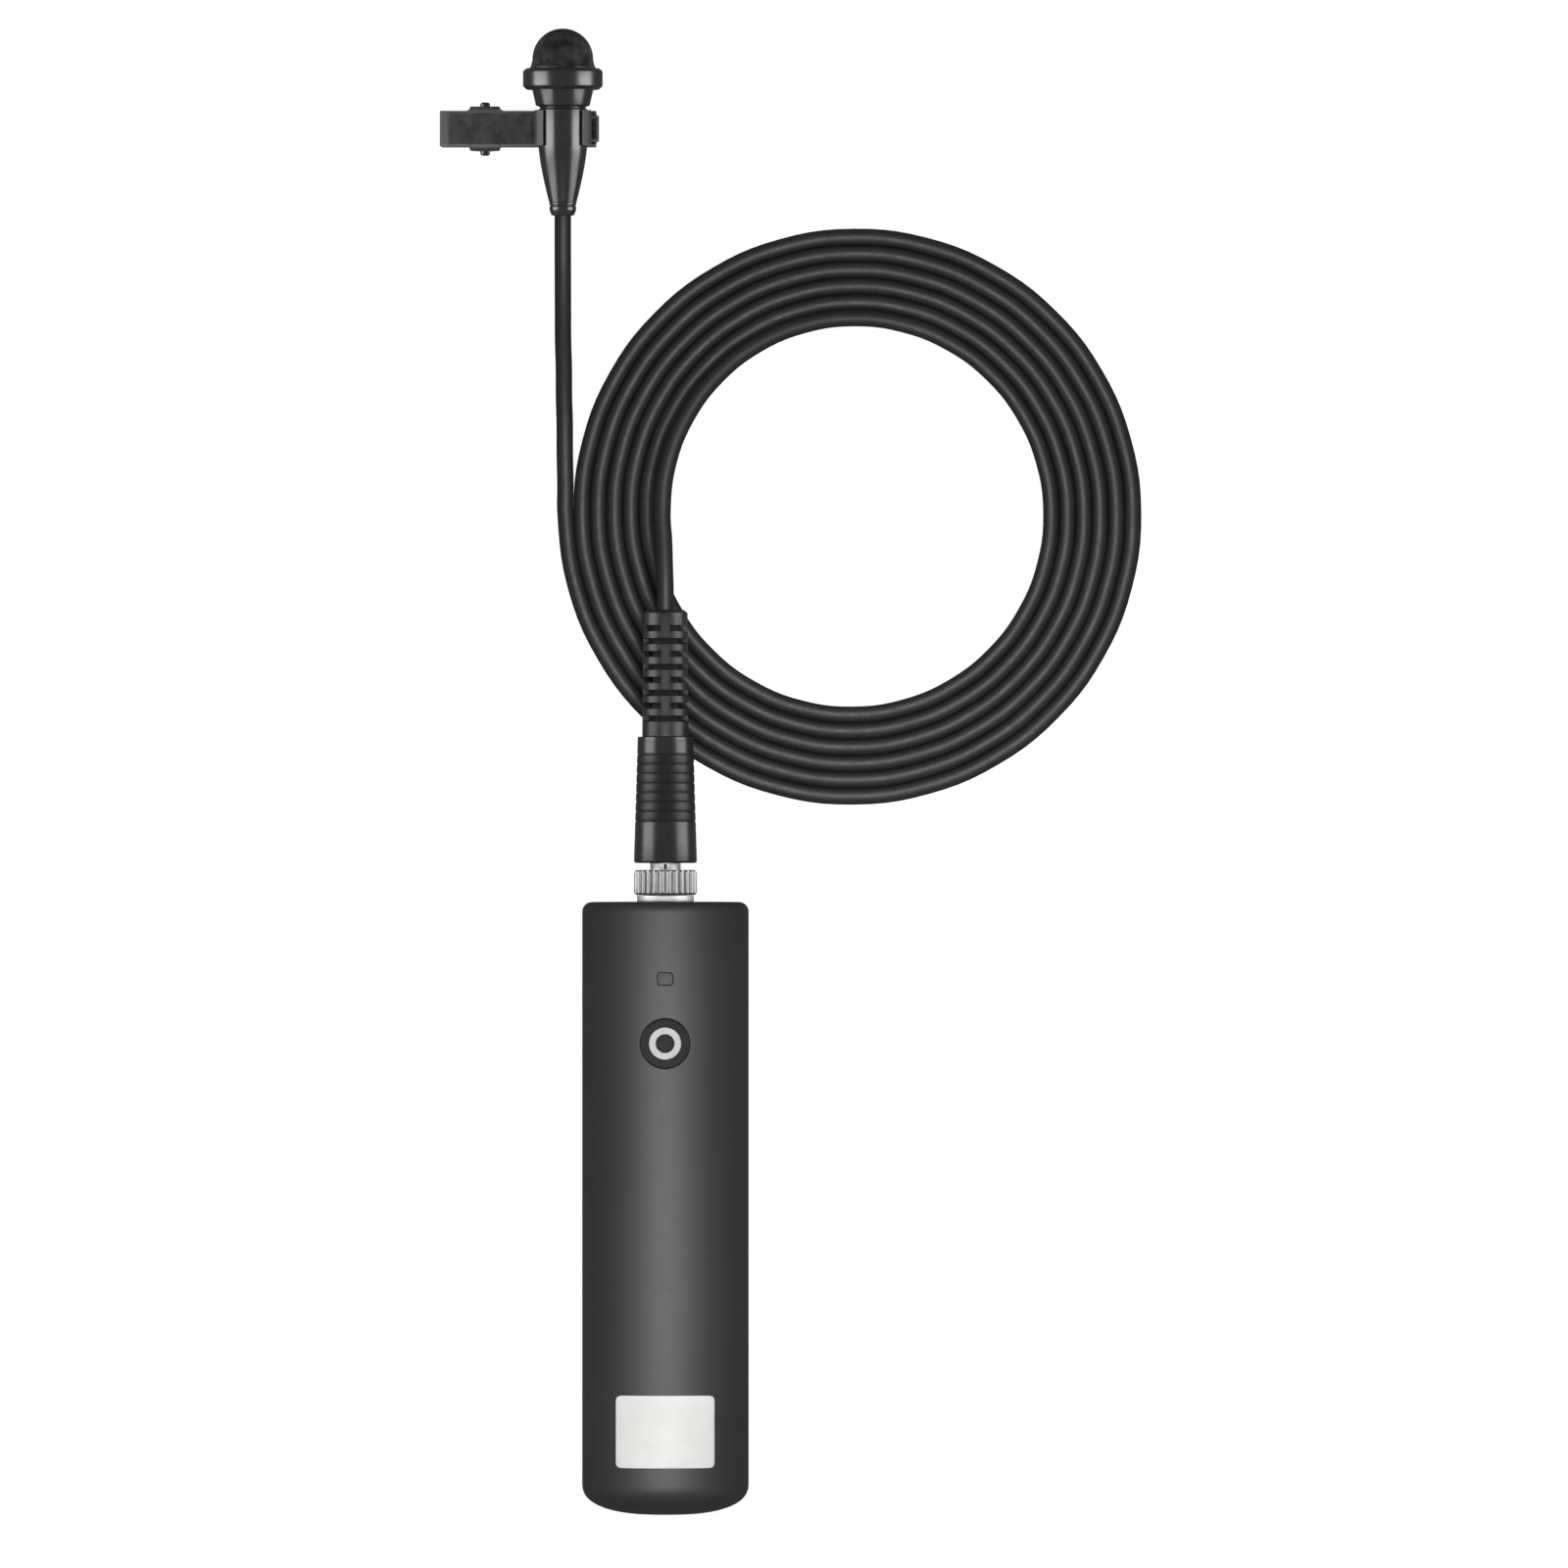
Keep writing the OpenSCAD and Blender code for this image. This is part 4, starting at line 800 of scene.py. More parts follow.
def over_mark(material, name, colour, rough):
    """Carries a finish over to another colour and roughness, each mixed in by the stored share."""
    tree = material.node_tree
    share = linked(tree, "Attribute", attribute_name=name).outputs["Fac"]
    tone, gloss = [tree.nodes["Principled BSDF"].inputs[socket] for socket in ("Base Color", "Roughness")]
    tree.links.new(blend_colours(tree, share, tone.links[0].from_socket, colour), tone)
    mixed = linked(tree, "Mix", {0: share, 2: gloss.links[0].from_socket, 3: rough}, data_type="FLOAT")
    tree.links.new(mixed.outputs[0], gloss)


def on_neck(y):
    """Whether a place along the axis is in the neck's slotted stretch."""
    return (y > top_y + slot_v * mm) & (y < top_y + slot_top_v * mm)


def slotted_neck(angle, place, radius):
    """Radii cut by narrow slots along the bare neck only."""
    from_slot = np.abs((angle * neck_slots / (2 * np.pi) + 0.5) % 1 - 0.5)
    return radius - 0.3 * mm * on_neck(place) * (from_slot < 0.08)


def neck_slot_shade(points):
    """1 at the bottom of the neck's slots, where the plating is dull and painted dark as shade, and 0
    elsewhere.
    """
    return (np.hypot(points[:, 0] - tube_x, points[:, 2] - tube_z) < 2.0 * mm) & on_neck(points[:, 1])


core = lathe("slotted_plug_core", np.concatenate([
    filleted([(core_foot_v, 0), (core_foot_v, shank_r), (stop_v, shank_r), (stop_v, stop_r),
        (stop_top_v, stop_r), (stop_top_v, neck_r), (slot_v - slot_step, neck_r)], 0.06),
    [(v, neck_r) for v in (slot_v + slot_step, slot_top_v - slot_step, slot_top_v + slot_step)],
    filleted([(slot_top_v + 0.1, neck_r), (head_v, neck_r), (head_v, head_r), (core_top_v, head_r),
        (core_top_v, 0)], 0.06),
]), tube_axis, around=192, cut_in=slotted_neck)
core_nickel = nickel.copy()
core_nickel.name = "slotted_nickel"
# The bottoms of the neck's slots get painted shade: a dark colour, with a duller gloss.
mark(core, "neck_slot_shade", neck_slot_shade)
over_mark(core_nickel, "neck_slot_shade", (0.06, 0.06, 0.065), 0.6)
dress(core, core_nickel, "microphone_lead", "nickel", "plug_core")
skin(nickel, "plug_ring", "plug_tip")
for nodes, *looks, sockets in (
    (["plug_insulators"], "moulded_insulator",
        (0.01, 0.01, 0.011), (0.016, 0.016, 0.017), (0.2, 0.34), 0.002, 0.06, 0.5, {}),
    (["plug_wires", "mic_wires"], "red_conductor",
        (0.36, 0.02, 0.015), (0.48, 0.035, 0.025), (0.36, 0.5), 0.003, 0.1, 1, {}),
    (["cable_crimp"], "crimped_brass",
        (0.5, 0.38, 0.16), (0.62, 0.49, 0.24), (0.26, 0.44), 0.005, 0.2, 1, metal),
):
    skin(finish(*looks, **sockets), *nodes)

# ---- Plug sleeve ----
# A satin black plastic sleeve that widens towards the lock ring. Eight fine grooves in a matt zone give a
# grip below the boot, and a smooth band stays plain at the wide end.
sleeve_v, sleeve_end_v, sleeve_r = extent("plug_sleeve")
sleeve_end_r, sleeve_bore_r, mouth_r, plain_v = 4.0, 3.0, 2.25, 9
grooves, groove_pitch, groove_w, groove_depth = 8, 1.37, 0.32, 0.09
groove_v = sleeve_end_v - 2.4


def sleeve_at(v):
    """The sleeve's radius at a place along it: a straight taper."""
    return sleeve_r + (sleeve_end_r - sleeve_r) * (v - sleeve_v) / (sleeve_end_v - sleeve_v)


ribs = []
for v in groove_v - np.arange(grooves) * groove_pitch:
    ribs += [(v, sleeve_at(v)), (v - 0.1, sleeve_at(v) - groove_depth),
        (v - groove_w + 0.1, sleeve_at(v) - groove_depth), (v - groove_w, sleeve_at(v - groove_w))]
sleeve = lathe("grooved_plug_sleeve", filleted([
    (sleeve_end_v, sleeve_bore_r), (sleeve_end_v, sleeve_end_r),
    (sleeve_end_v - 1.2, sleeve_at(sleeve_end_v - 1.2)), *ribs, (plain_v, sleeve_at(plain_v)),
    (sleeve_v + 0.2, sleeve_r), (sleeve_v, sleeve_r - 0.2), (sleeve_v, mouth_r), (sleeve_v + 1.2, mouth_r),
    (sleeve_v + 1.2, sleeve_bore_r), (sleeve_end_v, sleeve_bore_r),
], 0.13), tube_axis, sharp=60, around=128)
dress(sleeve, finish(
    "satin_black_plastic", (0.0085, 0.0085, 0.009), (0.012, 0.012, 0.0125), (0.24, 0.29), 0.0003, 0.2,
    Specular_IOR_Level=0.9,
), "microphone_lead", "sleeve_black", "plug_sleeve")
sleeve.data.materials.append(finish(
    "matt_grip_plastic", (0.006, 0.006, 0.0065), (0.009, 0.009, 0.0095), (0.36, 0.46), 0.0006, 0.1, 2,
    Specular_IOR_Level=0.55,
))
face_middles = np.empty(3 * len(sleeve.data.polygons))
sleeve.data.polygons.foreach_get("center", face_middles)
face_v = (face_middles[1::3] - top_y) / mm
on_grip = (face_v > groove_v - (grooves - 1) * groove_pitch - groove_w) & (face_v < groove_v)
sleeve.data.polygons.foreach_set("material_index", on_grip.astype(np.int32))
link_light(sleeve, "EXCLUDE", "tube_panel")

# ---- Cable boot ----
# The strain relief, moulded in black rubber and held by its spigot inside the sleeve. Eight levels of slots
# go round it, and each level's two bridges stand a quarter turn from those of the next.
_, boot_end_v, _ = extent("cable_boot")
boot_v, boot_r, spigot_r = sleeve_end_v, 3.35, 2.95
slot_levels, slot_pitch, slot_h, slot_core_r, bridge_half = 8, 1.86, 0.85, 1.9, 0.75
lip_out, lip_in = 0.03, 0.07  # a slot's edges are rounded from just outside it to just inside
slot_feet = boot_end_v - 3.1 - np.arange(slot_levels) * slot_pitch
near_bridge = np.array([0, 4, 8, 10.5, 12, 13, 14, 15, 17, 20.5, 26, 32, 38.5, 45])
quarter = np.concatenate([near_bridge, 90 - near_bridge[-2::-1]])[:-1]
boot_angles = np.radians(np.concatenate([quarter + 90 * k for k in range(4)]))


def slotted(angle, place, radius):
    """Radii that drop to the core in each slot, except where a level's two bridges stand."""
    v = (place - top_y) / mm
    for k, foot in enumerate(slot_feet):
        inside = smooth(v, foot - lip_out, foot + lip_in)
        inside = inside * (1 - smooth(v, foot + slot_h - lip_in, foot + slot_h + lip_out))
        off_bridge = np.abs(np.sin(angle) if k % 2 == 0 else np.cos(angle)) * boot_r
        open_share = inside * smooth(off_bridge, bridge_half - 0.06, bridge_half + 0.12)
        radius = radius + (np.minimum(radius, slot_core_r * mm) - radius) * open_share
    return radius


def boot_slot_shade(points):
    """1 at the bottom of the slots, which are painted darker as shade and made rougher, and 0 on the boot's
    face.
    """
    return 1 - smooth(np.hypot(points[:, 0] - tube_x, points[:, 2] - tube_z), 2.0 * mm, 3.0 * mm)


# Rows stand close together at both edges of each slot.
from_edge = np.array([-0.1, -lip_out, 0, lip_out, lip_in, 0.2])
slot_rows = np.append(np.add.outer(slot_feet, from_edge), np.add.outer(slot_feet + slot_h, -from_edge))
wall_v = np.sort(np.append(slot_rows, [boot_v + 0.3, boot_v + 1.5]))
wall_r = boot_r - 0.15 * (wall_v - boot_v) / (boot_end_v - boot_v)
boot = lathe("slotted_cable_boot", np.concatenate([
    filleted([(boot_v - 5.5, 0), (boot_v - 5.5, spigot_r), (boot_v, spigot_r), (boot_v, boot_r),
        (boot_v + 0.3, boot_r)], 0.1),
    np.stack([wall_v, wall_r], axis=-1),
    filleted([(boot_end_v - 0.6, 3.19), (boot_end_v - 0.45, 3.18), (boot_end_v, 2.6), (boot_end_v, 1.3),
        (boot_end_v - 0.4, 1.22), (boot_end_v - 0.4, 0)], 0.15),
]), tube_axis, sharp=45, around=boot_angles, cut_in=slotted)
boot_rubber = finish(
    "satin_black_rubber", (0.011, 0.011, 0.0115), (0.016, 0.016, 0.0165), (0.3, 0.4), 0.002, 0.16,
    Specular_IOR_Level=0.6,
)
# The bottoms of the boot's slots get painted shade: a darker colour, and a rougher surface.
mark(boot, "boot_slot_shade", boot_slot_shade)
over_mark(boot_rubber, "boot_slot_shade", (0.006, 0.006, 0.006), 0.85)
dress(boot, boot_rubber, "microphone_lead", "boot_rubber", "cable_boot")

# ---- Microphone's housing and tail ----
# A turned metal housing with a semi-gloss black coat: neck, groove, straight body for the clip and a long
# taper. A short ring at its thin end holds the cable.
collar_low, collar_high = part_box("mic_collar")
mic_x, mic_z = mic_axis = (collar_low.x + collar_high.x) / 2, (collar_low.z + collar_high.z) / 2
collar_v, collar_top_v, collar_r = extent("mic_collar")
exit_v, tail_v, _ = extent("mic_tail")
_, seat_v, _ = extent("mic_housing")
body_v, taper_v, body_r, thin_r, tail_bore_r = collar_v - 2.6, collar_v - 8.4, 3.5, 2.0, 1.2
bore_end_v, bore_r, lead_gap_r = 115.15, 3.4, 1.3
seat_out_r, flare_r, groove_r = 4.45, 3.88, 3.3
share = np.linspace(0, 1, 24)
# The taper's radius lies midway between a quarter of a cosine and a straight cone.
taper = np.stack([
    taper_v - (taper_v - tail_v) * share,
    thin_r + (body_r - thin_r) * (np.cos(np.pi / 2 * share) + 1 - share) / 2,
], axis=-1)
housing = lathe("tapered_mic_housing", np.concatenate([
    filleted([(seat_v, bore_r), (seat_v, seat_out_r), (collar_v + 0.2, seat_out_r),
        (collar_v - 0.15, seat_out_r - 0.07), (body_v + 0.3, flare_r), (body_v + 0.12, groove_r),
        (body_v - 0.1, groove_r), (body_v - 0.22, body_r), (taper_v, body_r)], 0.12),
    taper[1:],
    filleted([(tail_v, thin_r - 0.05), (tail_v, lead_gap_r), (bore_end_v, lead_gap_r),
        (bore_end_v, bore_r), (seat_v, bore_r)], 0.05),
]), mic_axis, sharp=45, around=128)
black_coat = finish(
    "semi_gloss_black_coat", (0.0085, 0.0085, 0.009), (0.012, 0.012, 0.0125), (0.22, 0.28), 0.0003, 0.12, 2,
    Specular_IOR_Level=0.8, Coat_Weight=0.3, Coat_Roughness=0.2,
)
dress(housing, black_coat, "microphone_lead", "mic_black", "mic_housing")
tail = lathe("mic_tail_ring", filleted([
    (tail_v, tail_bore_r), (tail_v, 1.95), (tail_v - 0.35, 1.97), (tail_v - 0.45, 1.84), (tail_v - 0.6, 1.84),
    (tail_v - 0.7, 1.95), (tail_v - 1.15, 1.93), (exit_v + 0.15, 1.68), (exit_v, 1.5), (exit_v, tail_bore_r),
    (tail_v, tail_bore_r),
], 0.08), mic_axis)
dress(tail, black_coat, "microphone_lead", "mic_black", "mic_tail")

# ---- Gloss collar ----
# A broad polished black ring with a chamfer on each side, pressed over the housing. It holds the foot of
# the wire dome.
seat_r, foot_seat_r = 4.48, 4.76
gloss_collar = lathe("gloss_mic_collar", filleted([
    (collar_top_v, foot_seat_r), (collar_top_v, collar_r - 0.5), (collar_top_v - 0.42, collar_r),
    (collar_v + 0.5, collar_r), (collar_v, collar_r - 0.55), (collar_v, seat_r), (collar_v + 1.85, seat_r),
    (collar_v + 1.85, foot_seat_r), (collar_top_v, foot_seat_r),
], 0.12), mic_axis, around=160)
dress(gloss_collar, finish(
    "polished_black", (0.006, 0.006, 0.0065), (0.009, 0.009, 0.0095), (0.26, 0.32), 0.0002, 0.2, 2,
    Specular_IOR_Level=0.8, Coat_Weight=0.4, Coat_Roughness=0.24,
), "microphone_lead", "mic_black", "mic_collar")

# ---- Wire dome ----
# Black woven steel wire, pressed into a dome with a short skirt and held in a rolled foot. The weave's two
# sets of wires pass over and under each other, and a felt lining stops the wind behind them.
_, dome_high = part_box("mic_grille")
foot_v, _, _ = extent("mic_grille")
wire_r, wire_pitch = 0.058 * mm, 0.26 * mm
dome_r = 4.4 * mm
weave_r = dome_r - 2 * wire_r
dome_y = dome_high.y - dome_r
skirt, flare = 1.9 * mm, 0.2 * mm
cloth_r = weave_r * np.pi / 2 + skirt


def on_dome(a, b, lift):
    """Points of a flat cloth pressed over the dome, and the outward way there.

    A point's distance from the cloth's middle becomes arc length down the dome, then straight down its
    skirt, which flares a little."""
    far, way = np.hypot(a, b), np.arctan2(b, a)
    polar = np.minimum(far / weave_r, np.pi / 2)
    down = np.maximum(far - weave_r * np.pi / 2, 0)
    out = np.stack([np.sin(polar) * np.cos(way), np.cos(polar), np.sin(polar) * np.sin(way)], axis=-1)
    centre = np.stack([np.full_like(down, mic_x), dome_y - down, np.full_like(down, mic_z)], axis=-1)
    return centre + out * (weave_r + flare * smooth(down, 0, skirt - 0.8 * mm) + lift)[..., None], out


def wire_along(line, radius, out, sides):
    """A round wire along a line of points: a circle across the line at each, shrunk to a point at both ends.

    out is a way off the line, which keeps the circles from twisting."""
    heading = unit(np.gradient(line, axis=0))
    side = unit(np.cross(heading, out))
    up = np.cross(side, heading)
    turn = full_turn(sides)[:, None]
    thick = np.full((len(line), 1, 1), radius)
    thick[[0, -1]] = 0
    return line[:, None] + thick * (np.cos(turn) * side[:, None] + np.sin(turn) * up[:, None]), True


def wires(across):
    """One set of the weave's wires, each a five-sided tube that waves over and under the other set's.

    Its height is wire_r * cos(pi * way / wire_pitch), turned over from one wire to the next."""
    made = []
    count = int(cloth_r / wire_pitch)
    for j in range(-count, count + 1):
        offset = j * wire_pitch
        reach = np.sqrt(max(cloth_r**2 - offset**2, 0))
        run = np.linspace(-reach, reach, max(int(8 * reach / wire_pitch), 6))
        beside = np.full(len(run), offset)
        wave = wire_r * np.cos(np.pi * run / wire_pitch) * (-1) ** j * (1 if across else -1)
        line, out = on_dome(run, beside, wave) if across else on_dome(beside, run, wave)
        made.append(wire_along(line, wire_r, out, 5))
    return made


warp = piece("woven_dome_warp", wires(True), sharp=80, merge=1e-8)
weft = piece("woven_dome_weft", wires(False), sharp=80, merge=1e-8)
skirt_top_v, foot_in_r, foot_out_r = collar_top_v + 0.25, 4.44, 4.7
rolled_foot = lathe("rolled_dome_foot", filleted([
    (foot_v, foot_in_r), (foot_v, foot_out_r), (skirt_top_v - 0.05, foot_out_r + 0.02),
    (skirt_top_v + 0.1, foot_out_r - 0.1), (skirt_top_v + 0.08, foot_in_r), (foot_v, foot_in_r),
], 0.08), mic_axis, around=128)
lining_r, felt_t, dome_v = 4.08, 0.25, (dome_y - top_y) / mm
arc = np.radians(np.linspace(0, 90, 24))
crown = np.stack([np.cos(arc), np.sin(arc)], axis=-1)
lining = lathe("felt_dome_lining", np.concatenate([
    [dome_v, 0] + lining_r * crown, [(foot_v + 0.4, lining_r), (foot_v + 0.4, lining_r - felt_t)],
    [dome_v, 0] + (lining_r - felt_t) * crown[::-1],
]), mic_axis)
wire_black = finish(
    "blackened_wire", (0.012, 0.012, 0.0125), (0.12, 0.12, 0.122), (0.3, 0.5), 0.001, 0.05, 0.8, Metallic=0.5,
)
felt = finish(
    "wind_felt", (0.006, 0.006, 0.006), (0.012, 0.012, 0.012), (0.85, 0.98), 0.03, 0.07, 0.5,
    Specular_IOR_Level=0.2,
)
dress(warp, wire_black, "microphone_lead", "mesh_black", "mic_grille")
dress(weft, wire_black, "microphone_lead", "mesh_black")
dress(rolled_foot, wire_black, "microphone_lead", "mesh_black", "mic_grille")
dress(lining, felt, "microphone_lead", "foam_black")

# ---- Capsule ----
# The electret capsule sits in its rubber gasket under the dome: a drawn can, a metallised film on a
# drilled back plate, a spacer behind it and a small board, with a foam disc in front. All keep their solids.
for node, *looks, sockets in (
    ("acoustic_disc", "open_foam",
        (0.01, 0.01, 0.01), (0.02, 0.02, 0.02), (0.85, 0.98), 0.05, 0.15, 0.6, {"Specular_IOR_Level": 0.2}),
    ("capsule_can", "drawn_aluminium",
        (0.52, 0.53, 0.54), (0.64, 0.65, 0.66), (0.25, 0.42), 0.003, 0.08, 0.8, metal),
    ("capsule_gasket", "matt_gasket_rubber",
        (0.014, 0.014, 0.014), (0.022, 0.022, 0.022), (0.6, 0.8), 0.006, 0.1, 1, {}),
    ("capsule_board", "small_green_board",
        (0.01, 0.08, 0.035), (0.016, 0.11, 0.05), (0.25, 0.4), 0.003, 0.1, 1, {}),
    ("capsule_spacer", "spacer_resin",
        (0.66, 0.62, 0.53), (0.76, 0.73, 0.64), (0.4, 0.55), 0.003, 0.1, 1, {}),
    ("capsule_backplate", "drilled_brass_plate",
        (0.6, 0.45, 0.18), (0.7, 0.55, 0.25), (0.22, 0.36), 0.002, 0.06, 0.6, metal),
    ("capsule_diaphragm", "metallised_film",
        (0.7, 0.71, 0.72), (0.8, 0.81, 0.82), (0.06, 0.14), 0.001, 0.2, 1, metal),
):
    skin(finish(*looks, **sockets), node)

# ---- Clip's jaws ----
# Two levers pressed from spring sheet with a satin black coat. The upper one has a bent-up finger lip, ears
# for the pivot pin and a slotted tab at its tip; the lower one hooks up into that slot with a notched edge.
upper_low, upper_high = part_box("upper_jaw")
pin_low, pin_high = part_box("pivot_pin")
clip_y, pin_half = (pin_low.y + pin_high.y) / 2, (pin_high.y - pin_low.y) / 2
pivot_x, pivot_z = (pin_low.x + pin_high.x) / 2, (pin_low.z + pin_high.z) / 2
pin_r = (pin_high.x - pin_low.x) / 2
lever_x, tab_x, tab_foot_x = upper_low.x, upper_high.x, mic_x + 3.5 * mm
sheet_t, hook_t, upper_z, lower_z = 0.7 * mm, 0.65 * mm, 5.45 * mm, 1.6 * mm
jaw_half = 5.15 / 2 * mm
ear_in, ear_t, ear_r, ear_foot = jaw_half + 0.08 * mm, 0.55 * mm, 1.3 * mm, 2.2 * mm
tab_half, slot_half = 1.925 * mm, 1.45 * mm
sheet_edge = 0.12 * mm  # the rounding of the sheet's edges
upper_sheet_z, lower_sheet_z = upper_z + sheet_t / 2, 0.9 * mm + sheet_t / 2


def along(corners, bend, count=60):
    """A path in x and z with its corners bent, as points close together at both ends and even between."""
    path = filleted(corners, bend, 6)
    lengths = np.append(0, np.cumsum(np.linalg.norm(np.diff(path, axis=0), axis=1)))
    near_end = np.array([0, 0.3, 1]) * sheet_edge
    even = np.linspace(2 * sheet_edge, lengths[-1] - 2 * sheet_edge, count)
    places = np.concatenate([near_end, even, lengths[-1] - near_end[::-1]])
    return np.stack([np.interp(places, lengths, path[:, k]) for k in (0, 1)], axis=-1)


def strip(path, half_width, thickness, notch=None):
    """A bent strip of sheet: a rounded rectangle is carried along a path from along(), with rounded ends too.

    half_width is one number, or one for each point of the path. notch gives a depth for places across from
    -1 to 1, and draws the path's last millimetre back by it."""
    heading = unit(np.gradient(path, axis=0))
    normal = np.stack([-heading[:, 1], heading[:, 0]], axis=-1)
    across, corner = np.linspace(-1, 1, 41), np.radians(np.linspace(0, 90, 4))
    e, h = sheet_edge, thickness / 2 - sheet_edge
    c, s, flat = np.cos(corner), np.sin(corner), np.zeros(len(across))
    share = np.concatenate([across, np.ones(8), across[::-1], -np.ones(8)])
    bulge = e * np.concatenate([flat, s, c, flat, -s, -c])
    lift = np.concatenate([flat + h + e, h + e * c, -h - e * s, flat - h - e, -h - e * c, h + e * s])
    inset = np.zeros((len(path), 1))
    inset[[0, 1, -2, -1], 0] = 1, 0.3, 0.3, 1
    half_width = np.broadcast_to(half_width, len(path))[:, None]
    y = clip_y + share * (half_width - e) + bulge * (1 - inset)
    points = path[:, None] + (lift * (1 - inset * e / (h + e)))[..., None] * normal[:, None]
    if notch:
        from_end = np.cumsum(np.linalg.norm(np.diff(path[::-1], axis=0, prepend=path[-1:]), axis=1))[::-1]
        drawn = notch(share) * np.clip(1 - from_end / mm, 0, 1)[:, None]
        points = points - drawn[..., None] * heading[:, None]
    rows = np.stack([points[..., 0], y, points[..., 1]], axis=-1)
    facing = np.roll(rows[:, ::-1], -2 * len(corner), axis=1)
    middles = (rows + facing) / 2
    return np.concatenate([middles[:1], rows, middles[-1:]]), True


def ring_plate(outline, hole, thickness, place):
    """A flat plate with one hole: rounded edges run along its outline and its hole, and flat faces join them.

    outline and hole have as many points each. place turns flat points and a height into points in space."""
    way = unit(outline - hole)
    e, h = sheet_edge, thickness / 2
    upper = [(hole, 0, h - e), (hole, 0.3 * e, h - 0.3 * e), (hole, e, h), (outline, -e, h),
        (outline, -0.3 * e, h - 0.3 * e), (outline, 0, h - e)]
    lower = [(base, inset, -height) for base, inset, height in upper[::-1]]
    around = upper + lower + upper[:1]
    return np.array([place(base + way * inset, height) for base, inset, height in around]), True


def ears(foot, inside):
    """Both ears of a jaw, one at each side: plates with a round end about the pin.

    Straight flanks run from the round end to the sheet, which lies foot above or, if negative, below the pin.
    inside is how far from the clip's middle the ears begin."""
    angle = full_turn(96)
    circle = np.stack([np.cos(angle), np.sin(angle)], axis=-1)
    toward = circle[:, 1] * np.sign(foot)
    flank = ear_r / np.maximum(np.abs(circle[:, 0]) - toward * (ear_foot - ear_r) / abs(foot), 1e-6)
    to_sheet = abs(foot) / np.maximum(toward, 1e-6)
    reach = np.where(toward > 0, np.minimum(flank, to_sheet), ear_r)
    outline, hole = circle * reach[:, None], circle * (pin_r + 0.02 * mm)
    return [
        ring_plate(outline, hole, ear_t, lambda flat, height, side=side: np.column_stack([
            pivot_x + flat[:, 0], np.full(len(flat), clip_y + side * (inside + ear_t / 2) + height),
            pivot_z + flat[:, 1],
        ])) for side in (-1, 1)
    ]


upper_path = along([
    (lever_x + 0.22 * mm, upper_sheet_z + 0.72 * mm), (lever_x + 1.6 * mm, upper_sheet_z),
    (mic_x + 3.9 * mm, upper_sheet_z),
], 0.5 * mm)
shoulder = smooth(np.abs(upper_path[:, 0] - pivot_x), 2.0 * mm, 2.5 * mm)
upper_widths = ear_in + ear_t + (jaw_half - ear_in - ear_t) * shoulder
tab = ring_plate(
    superellipse(full_turn(96), (tab_x - tab_foot_x) / 2, tab_half, 14),
    superellipse(full_turn(96), 0.36 * mm, slot_half, 14) + [0.12 * mm, 0], sheet_t,
    lambda flat, height: np.column_stack([
        flat + [(tab_x + tab_foot_x) / 2, clip_y], np.full(len(flat), upper_sheet_z + height),
    ]),
)
upper = piece("upper_clip_jaw", [
    strip(upper_path, upper_widths, sheet_t), tab, *ears(upper_sheet_z - pivot_z, ear_in),
])

hook_x = mic_x + 4.475 * mm
lower_path = along([
    (lever_x + 0.4 * mm, 0.38 * mm), (lever_x + 1.6 * mm, lower_sheet_z), (hook_x, lower_sheet_z),
    (hook_x, upper_z - 0.05 * mm),
], 0.6 * mm, 80)
lower_half = ear_in - 0.05 * mm


def notches(share):
    """Four V notches across the hook's upper edge, at a quarter and three quarters of each half."""
    from_tooth = np.abs((share * 2 + 0.5) % 1 - 0.5)
    return np.maximum(0.4 * mm - (0.5 - from_tooth) * lower_half, 0)


def jaw_highlight(points):
    """Painted highlights on a jaw: its long edges, brighter on the cable's side, its finger lip and its tab.
    """
    across = points[:, 1] - clip_y
    edges = smooth(np.abs(across), jaw_half - 0.42 * mm, jaw_half - 0.2 * mm) * (np.abs(across) < ear_in)
    lip = 1 - smooth(points[:, 0], lever_x + 1.1 * mm, lever_x + 1.6 * mm)
    tip = smooth(points[:, 0], mic_x + 3.9 * mm, mic_x + 4.3 * mm) * (points[:, 2] > upper_z)
    return np.maximum(np.maximum(edges * np.where(across < 0, 0.85, 0.45), lip * 0.5), tip * 0.45)


lower = piece("lower_clip_jaw", [
    strip(lower_path, lower_half, hook_t, notches), *ears(lower_sheet_z - pivot_z, lower_half - ear_t),
])
clip_coat = finish(
    "satin_black_clip_coat", (0.03, 0.03, 0.0305), (0.066, 0.066, 0.067), (0.4, 0.56), 0.003, 0.16, 0.7,
    Specular_IOR_Level=0.4,
)
# The marked edges, lips and tab are painted a lighter colour: painted highlights.
over_mark(clip_coat, "painted_highlight", (0.17, 0.17, 0.172), 0.36)
for jaw, body, node in ((upper, "clip", "upper_jaw"), (lower, "clip_jaw", "lower_jaw")):
    mark(jaw, "painted_highlight", jaw_highlight)
    dress(jaw, clip_coat, body, "clip_black", node)

# ---- Clip's cradle ----
# A C-shaped spring band that snaps round the microphone's body, open at the top with slightly flared lips,
# on a small saddle that a rivet holds to the upper jaw.
cradle_mid_r, cradle_t, saddle_h, saddle_half = 3.845 * mm, 0.59 * mm, 0.62 * mm, 2.4 * mm
open_angle = np.radians(49)
turn = np.linspace(open_angle, 2 * np.pi - open_angle, 72)
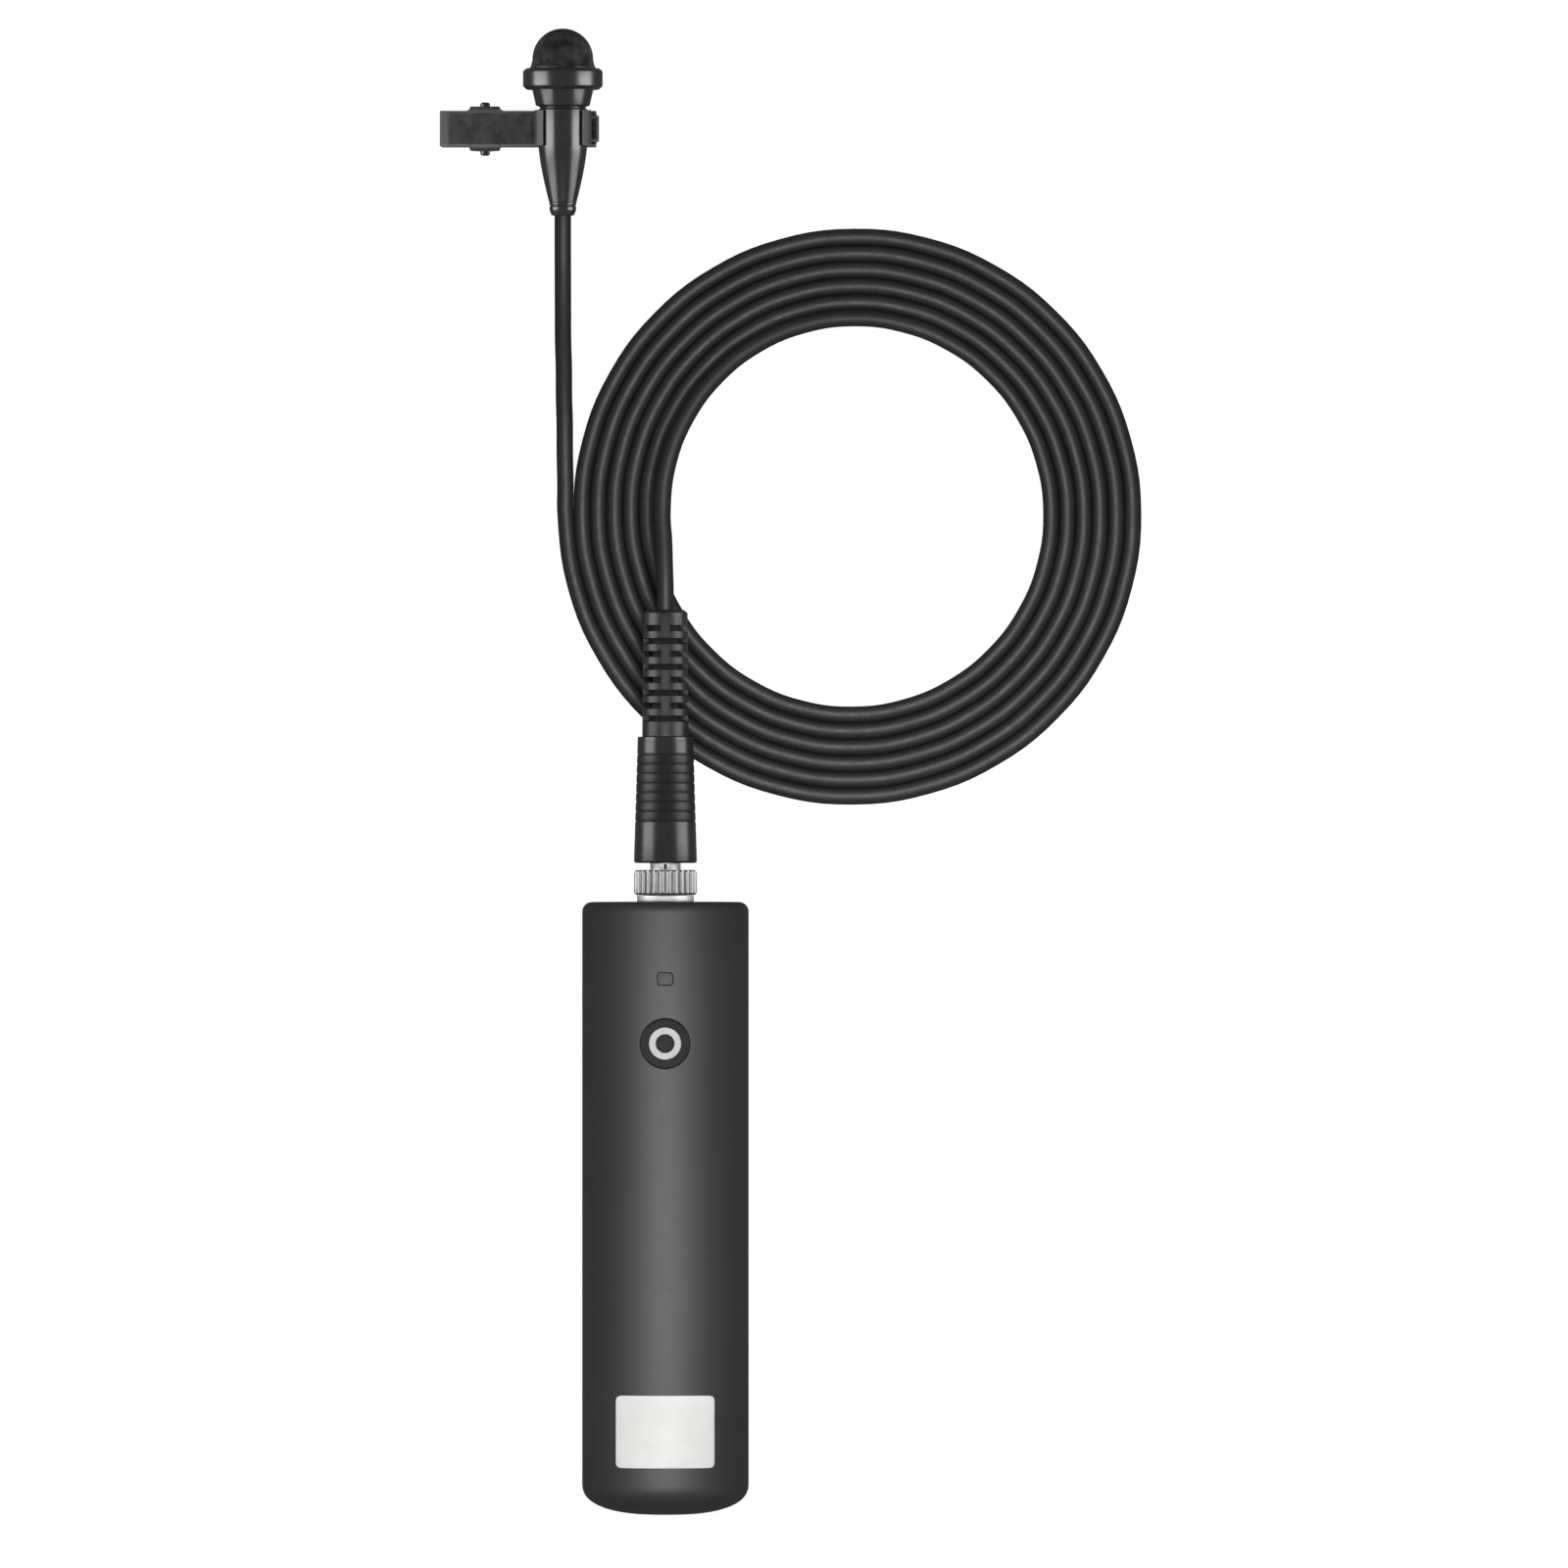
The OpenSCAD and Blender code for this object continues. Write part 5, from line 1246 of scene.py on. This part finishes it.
# Each lip flares by 0.18 mm, which fades away over 0.09 radians.
lip_flare = 0.18 * mm * (np.exp((open_angle - turn) / 0.09) + np.exp((turn - 2 * np.pi + open_angle) / 0.09))
cradle_line = np.stack([np.sin(turn), np.cos(turn)], axis=-1) * (cradle_mid_r + lip_flare)[:, None] + mic_axis
saddle_z = upper_z + sheet_t + saddle_h / 2
saddle_line = [(mic_x + step * saddle_half, saddle_z) for step in (-1, 0, 1)]
cradle = piece("clip_cradle_band", [
    strip(along(cradle_line, 0), jaw_half, cradle_t), strip(along(saddle_line, 0, 20), jaw_half, saddle_h),
])


def cradle_highlight(points):
    """Painted highlights on the cradle: its two lips, the left one brighter, and its end faces."""
    lips = smooth(points[:, 2], mic_z + 1.2 * mm, mic_z + 2.4 * mm)
    ends = smooth(np.abs(points[:, 1] - clip_y), jaw_half - 0.25 * mm, jaw_half - 0.08 * mm)
    return np.maximum(lips * np.where(points[:, 0] < mic_x, 0.9, 0.5), ends * 0.7)


mark(cradle, "painted_highlight", cradle_highlight)
dress(cradle, clip_coat, "clip", "clip_black", "clip_cradle")
skin(screw_steel, "cradle_rivet")

# ---- Pivot pin ----
# A turned steel pin with a black coat and rounded ends, pushed through all four ears. It carries the turns
# of the spring between them.
pin_end_v, end_r, shaft_r = pin_half / mm, 0.45, 0.7
pin = lathe("domed_pivot_pin", filleted([
    (-pin_end_v, 0), (-pin_end_v, end_r), (-pin_end_v + 0.2, shaft_r), (pin_end_v - 0.2, shaft_r),
    (pin_end_v, end_r), (pin_end_v, 0),
], 0.1), (pivot_x, pivot_z), start=clip_y, around=48)
dress(pin, black_coat, "clip", "clip_black", "pivot_pin")

# ---- Clip's spring ----
# Drawn steel wire wound round the pin between the ears, with one straight leg along the inner side of each
# lever. It winds up as the lower jaw opens.
spring_wire_r, wound_r, wound_count, wound_pitch = 0.2 * mm, 1.12 * mm, 6, 0.43 * mm
leg_x, leg_gap = pivot_x - 4.3 * mm, 0.24 * mm
turns_angle = np.linspace(0, 2 * np.pi * wound_count, 30 * wound_count + 1)
wound = np.stack([
    pivot_x + wound_r * np.sin(turns_angle),
    clip_y + wound_pitch * (turns_angle / (2 * np.pi) - wound_count / 2),
    pivot_z + wound_r * np.cos(turns_angle),
], axis=-1)
upper_leg = np.linspace([leg_x, wound[0, 1], upper_z - leg_gap], wound[0], 12)[:-1]
lower_leg = np.linspace(wound[-1], [leg_x, wound[-1, 1], lower_z + leg_gap], 12)[1:]
spring_line = np.concatenate([upper_leg, wound, lower_leg])
spring = piece("wound_clip_spring", [wire_along(spring_line, spring_wire_r, [0, 1, 0.02], 10)])
spring.data.materials.append(finish(
    "drawn_spring_steel", (0.34, 0.35, 0.37), (0.48, 0.49, 0.51), (0.24, 0.4), 0.002, 0.05, 0.5, **metal,
))
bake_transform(spring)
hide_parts("clip_spring")
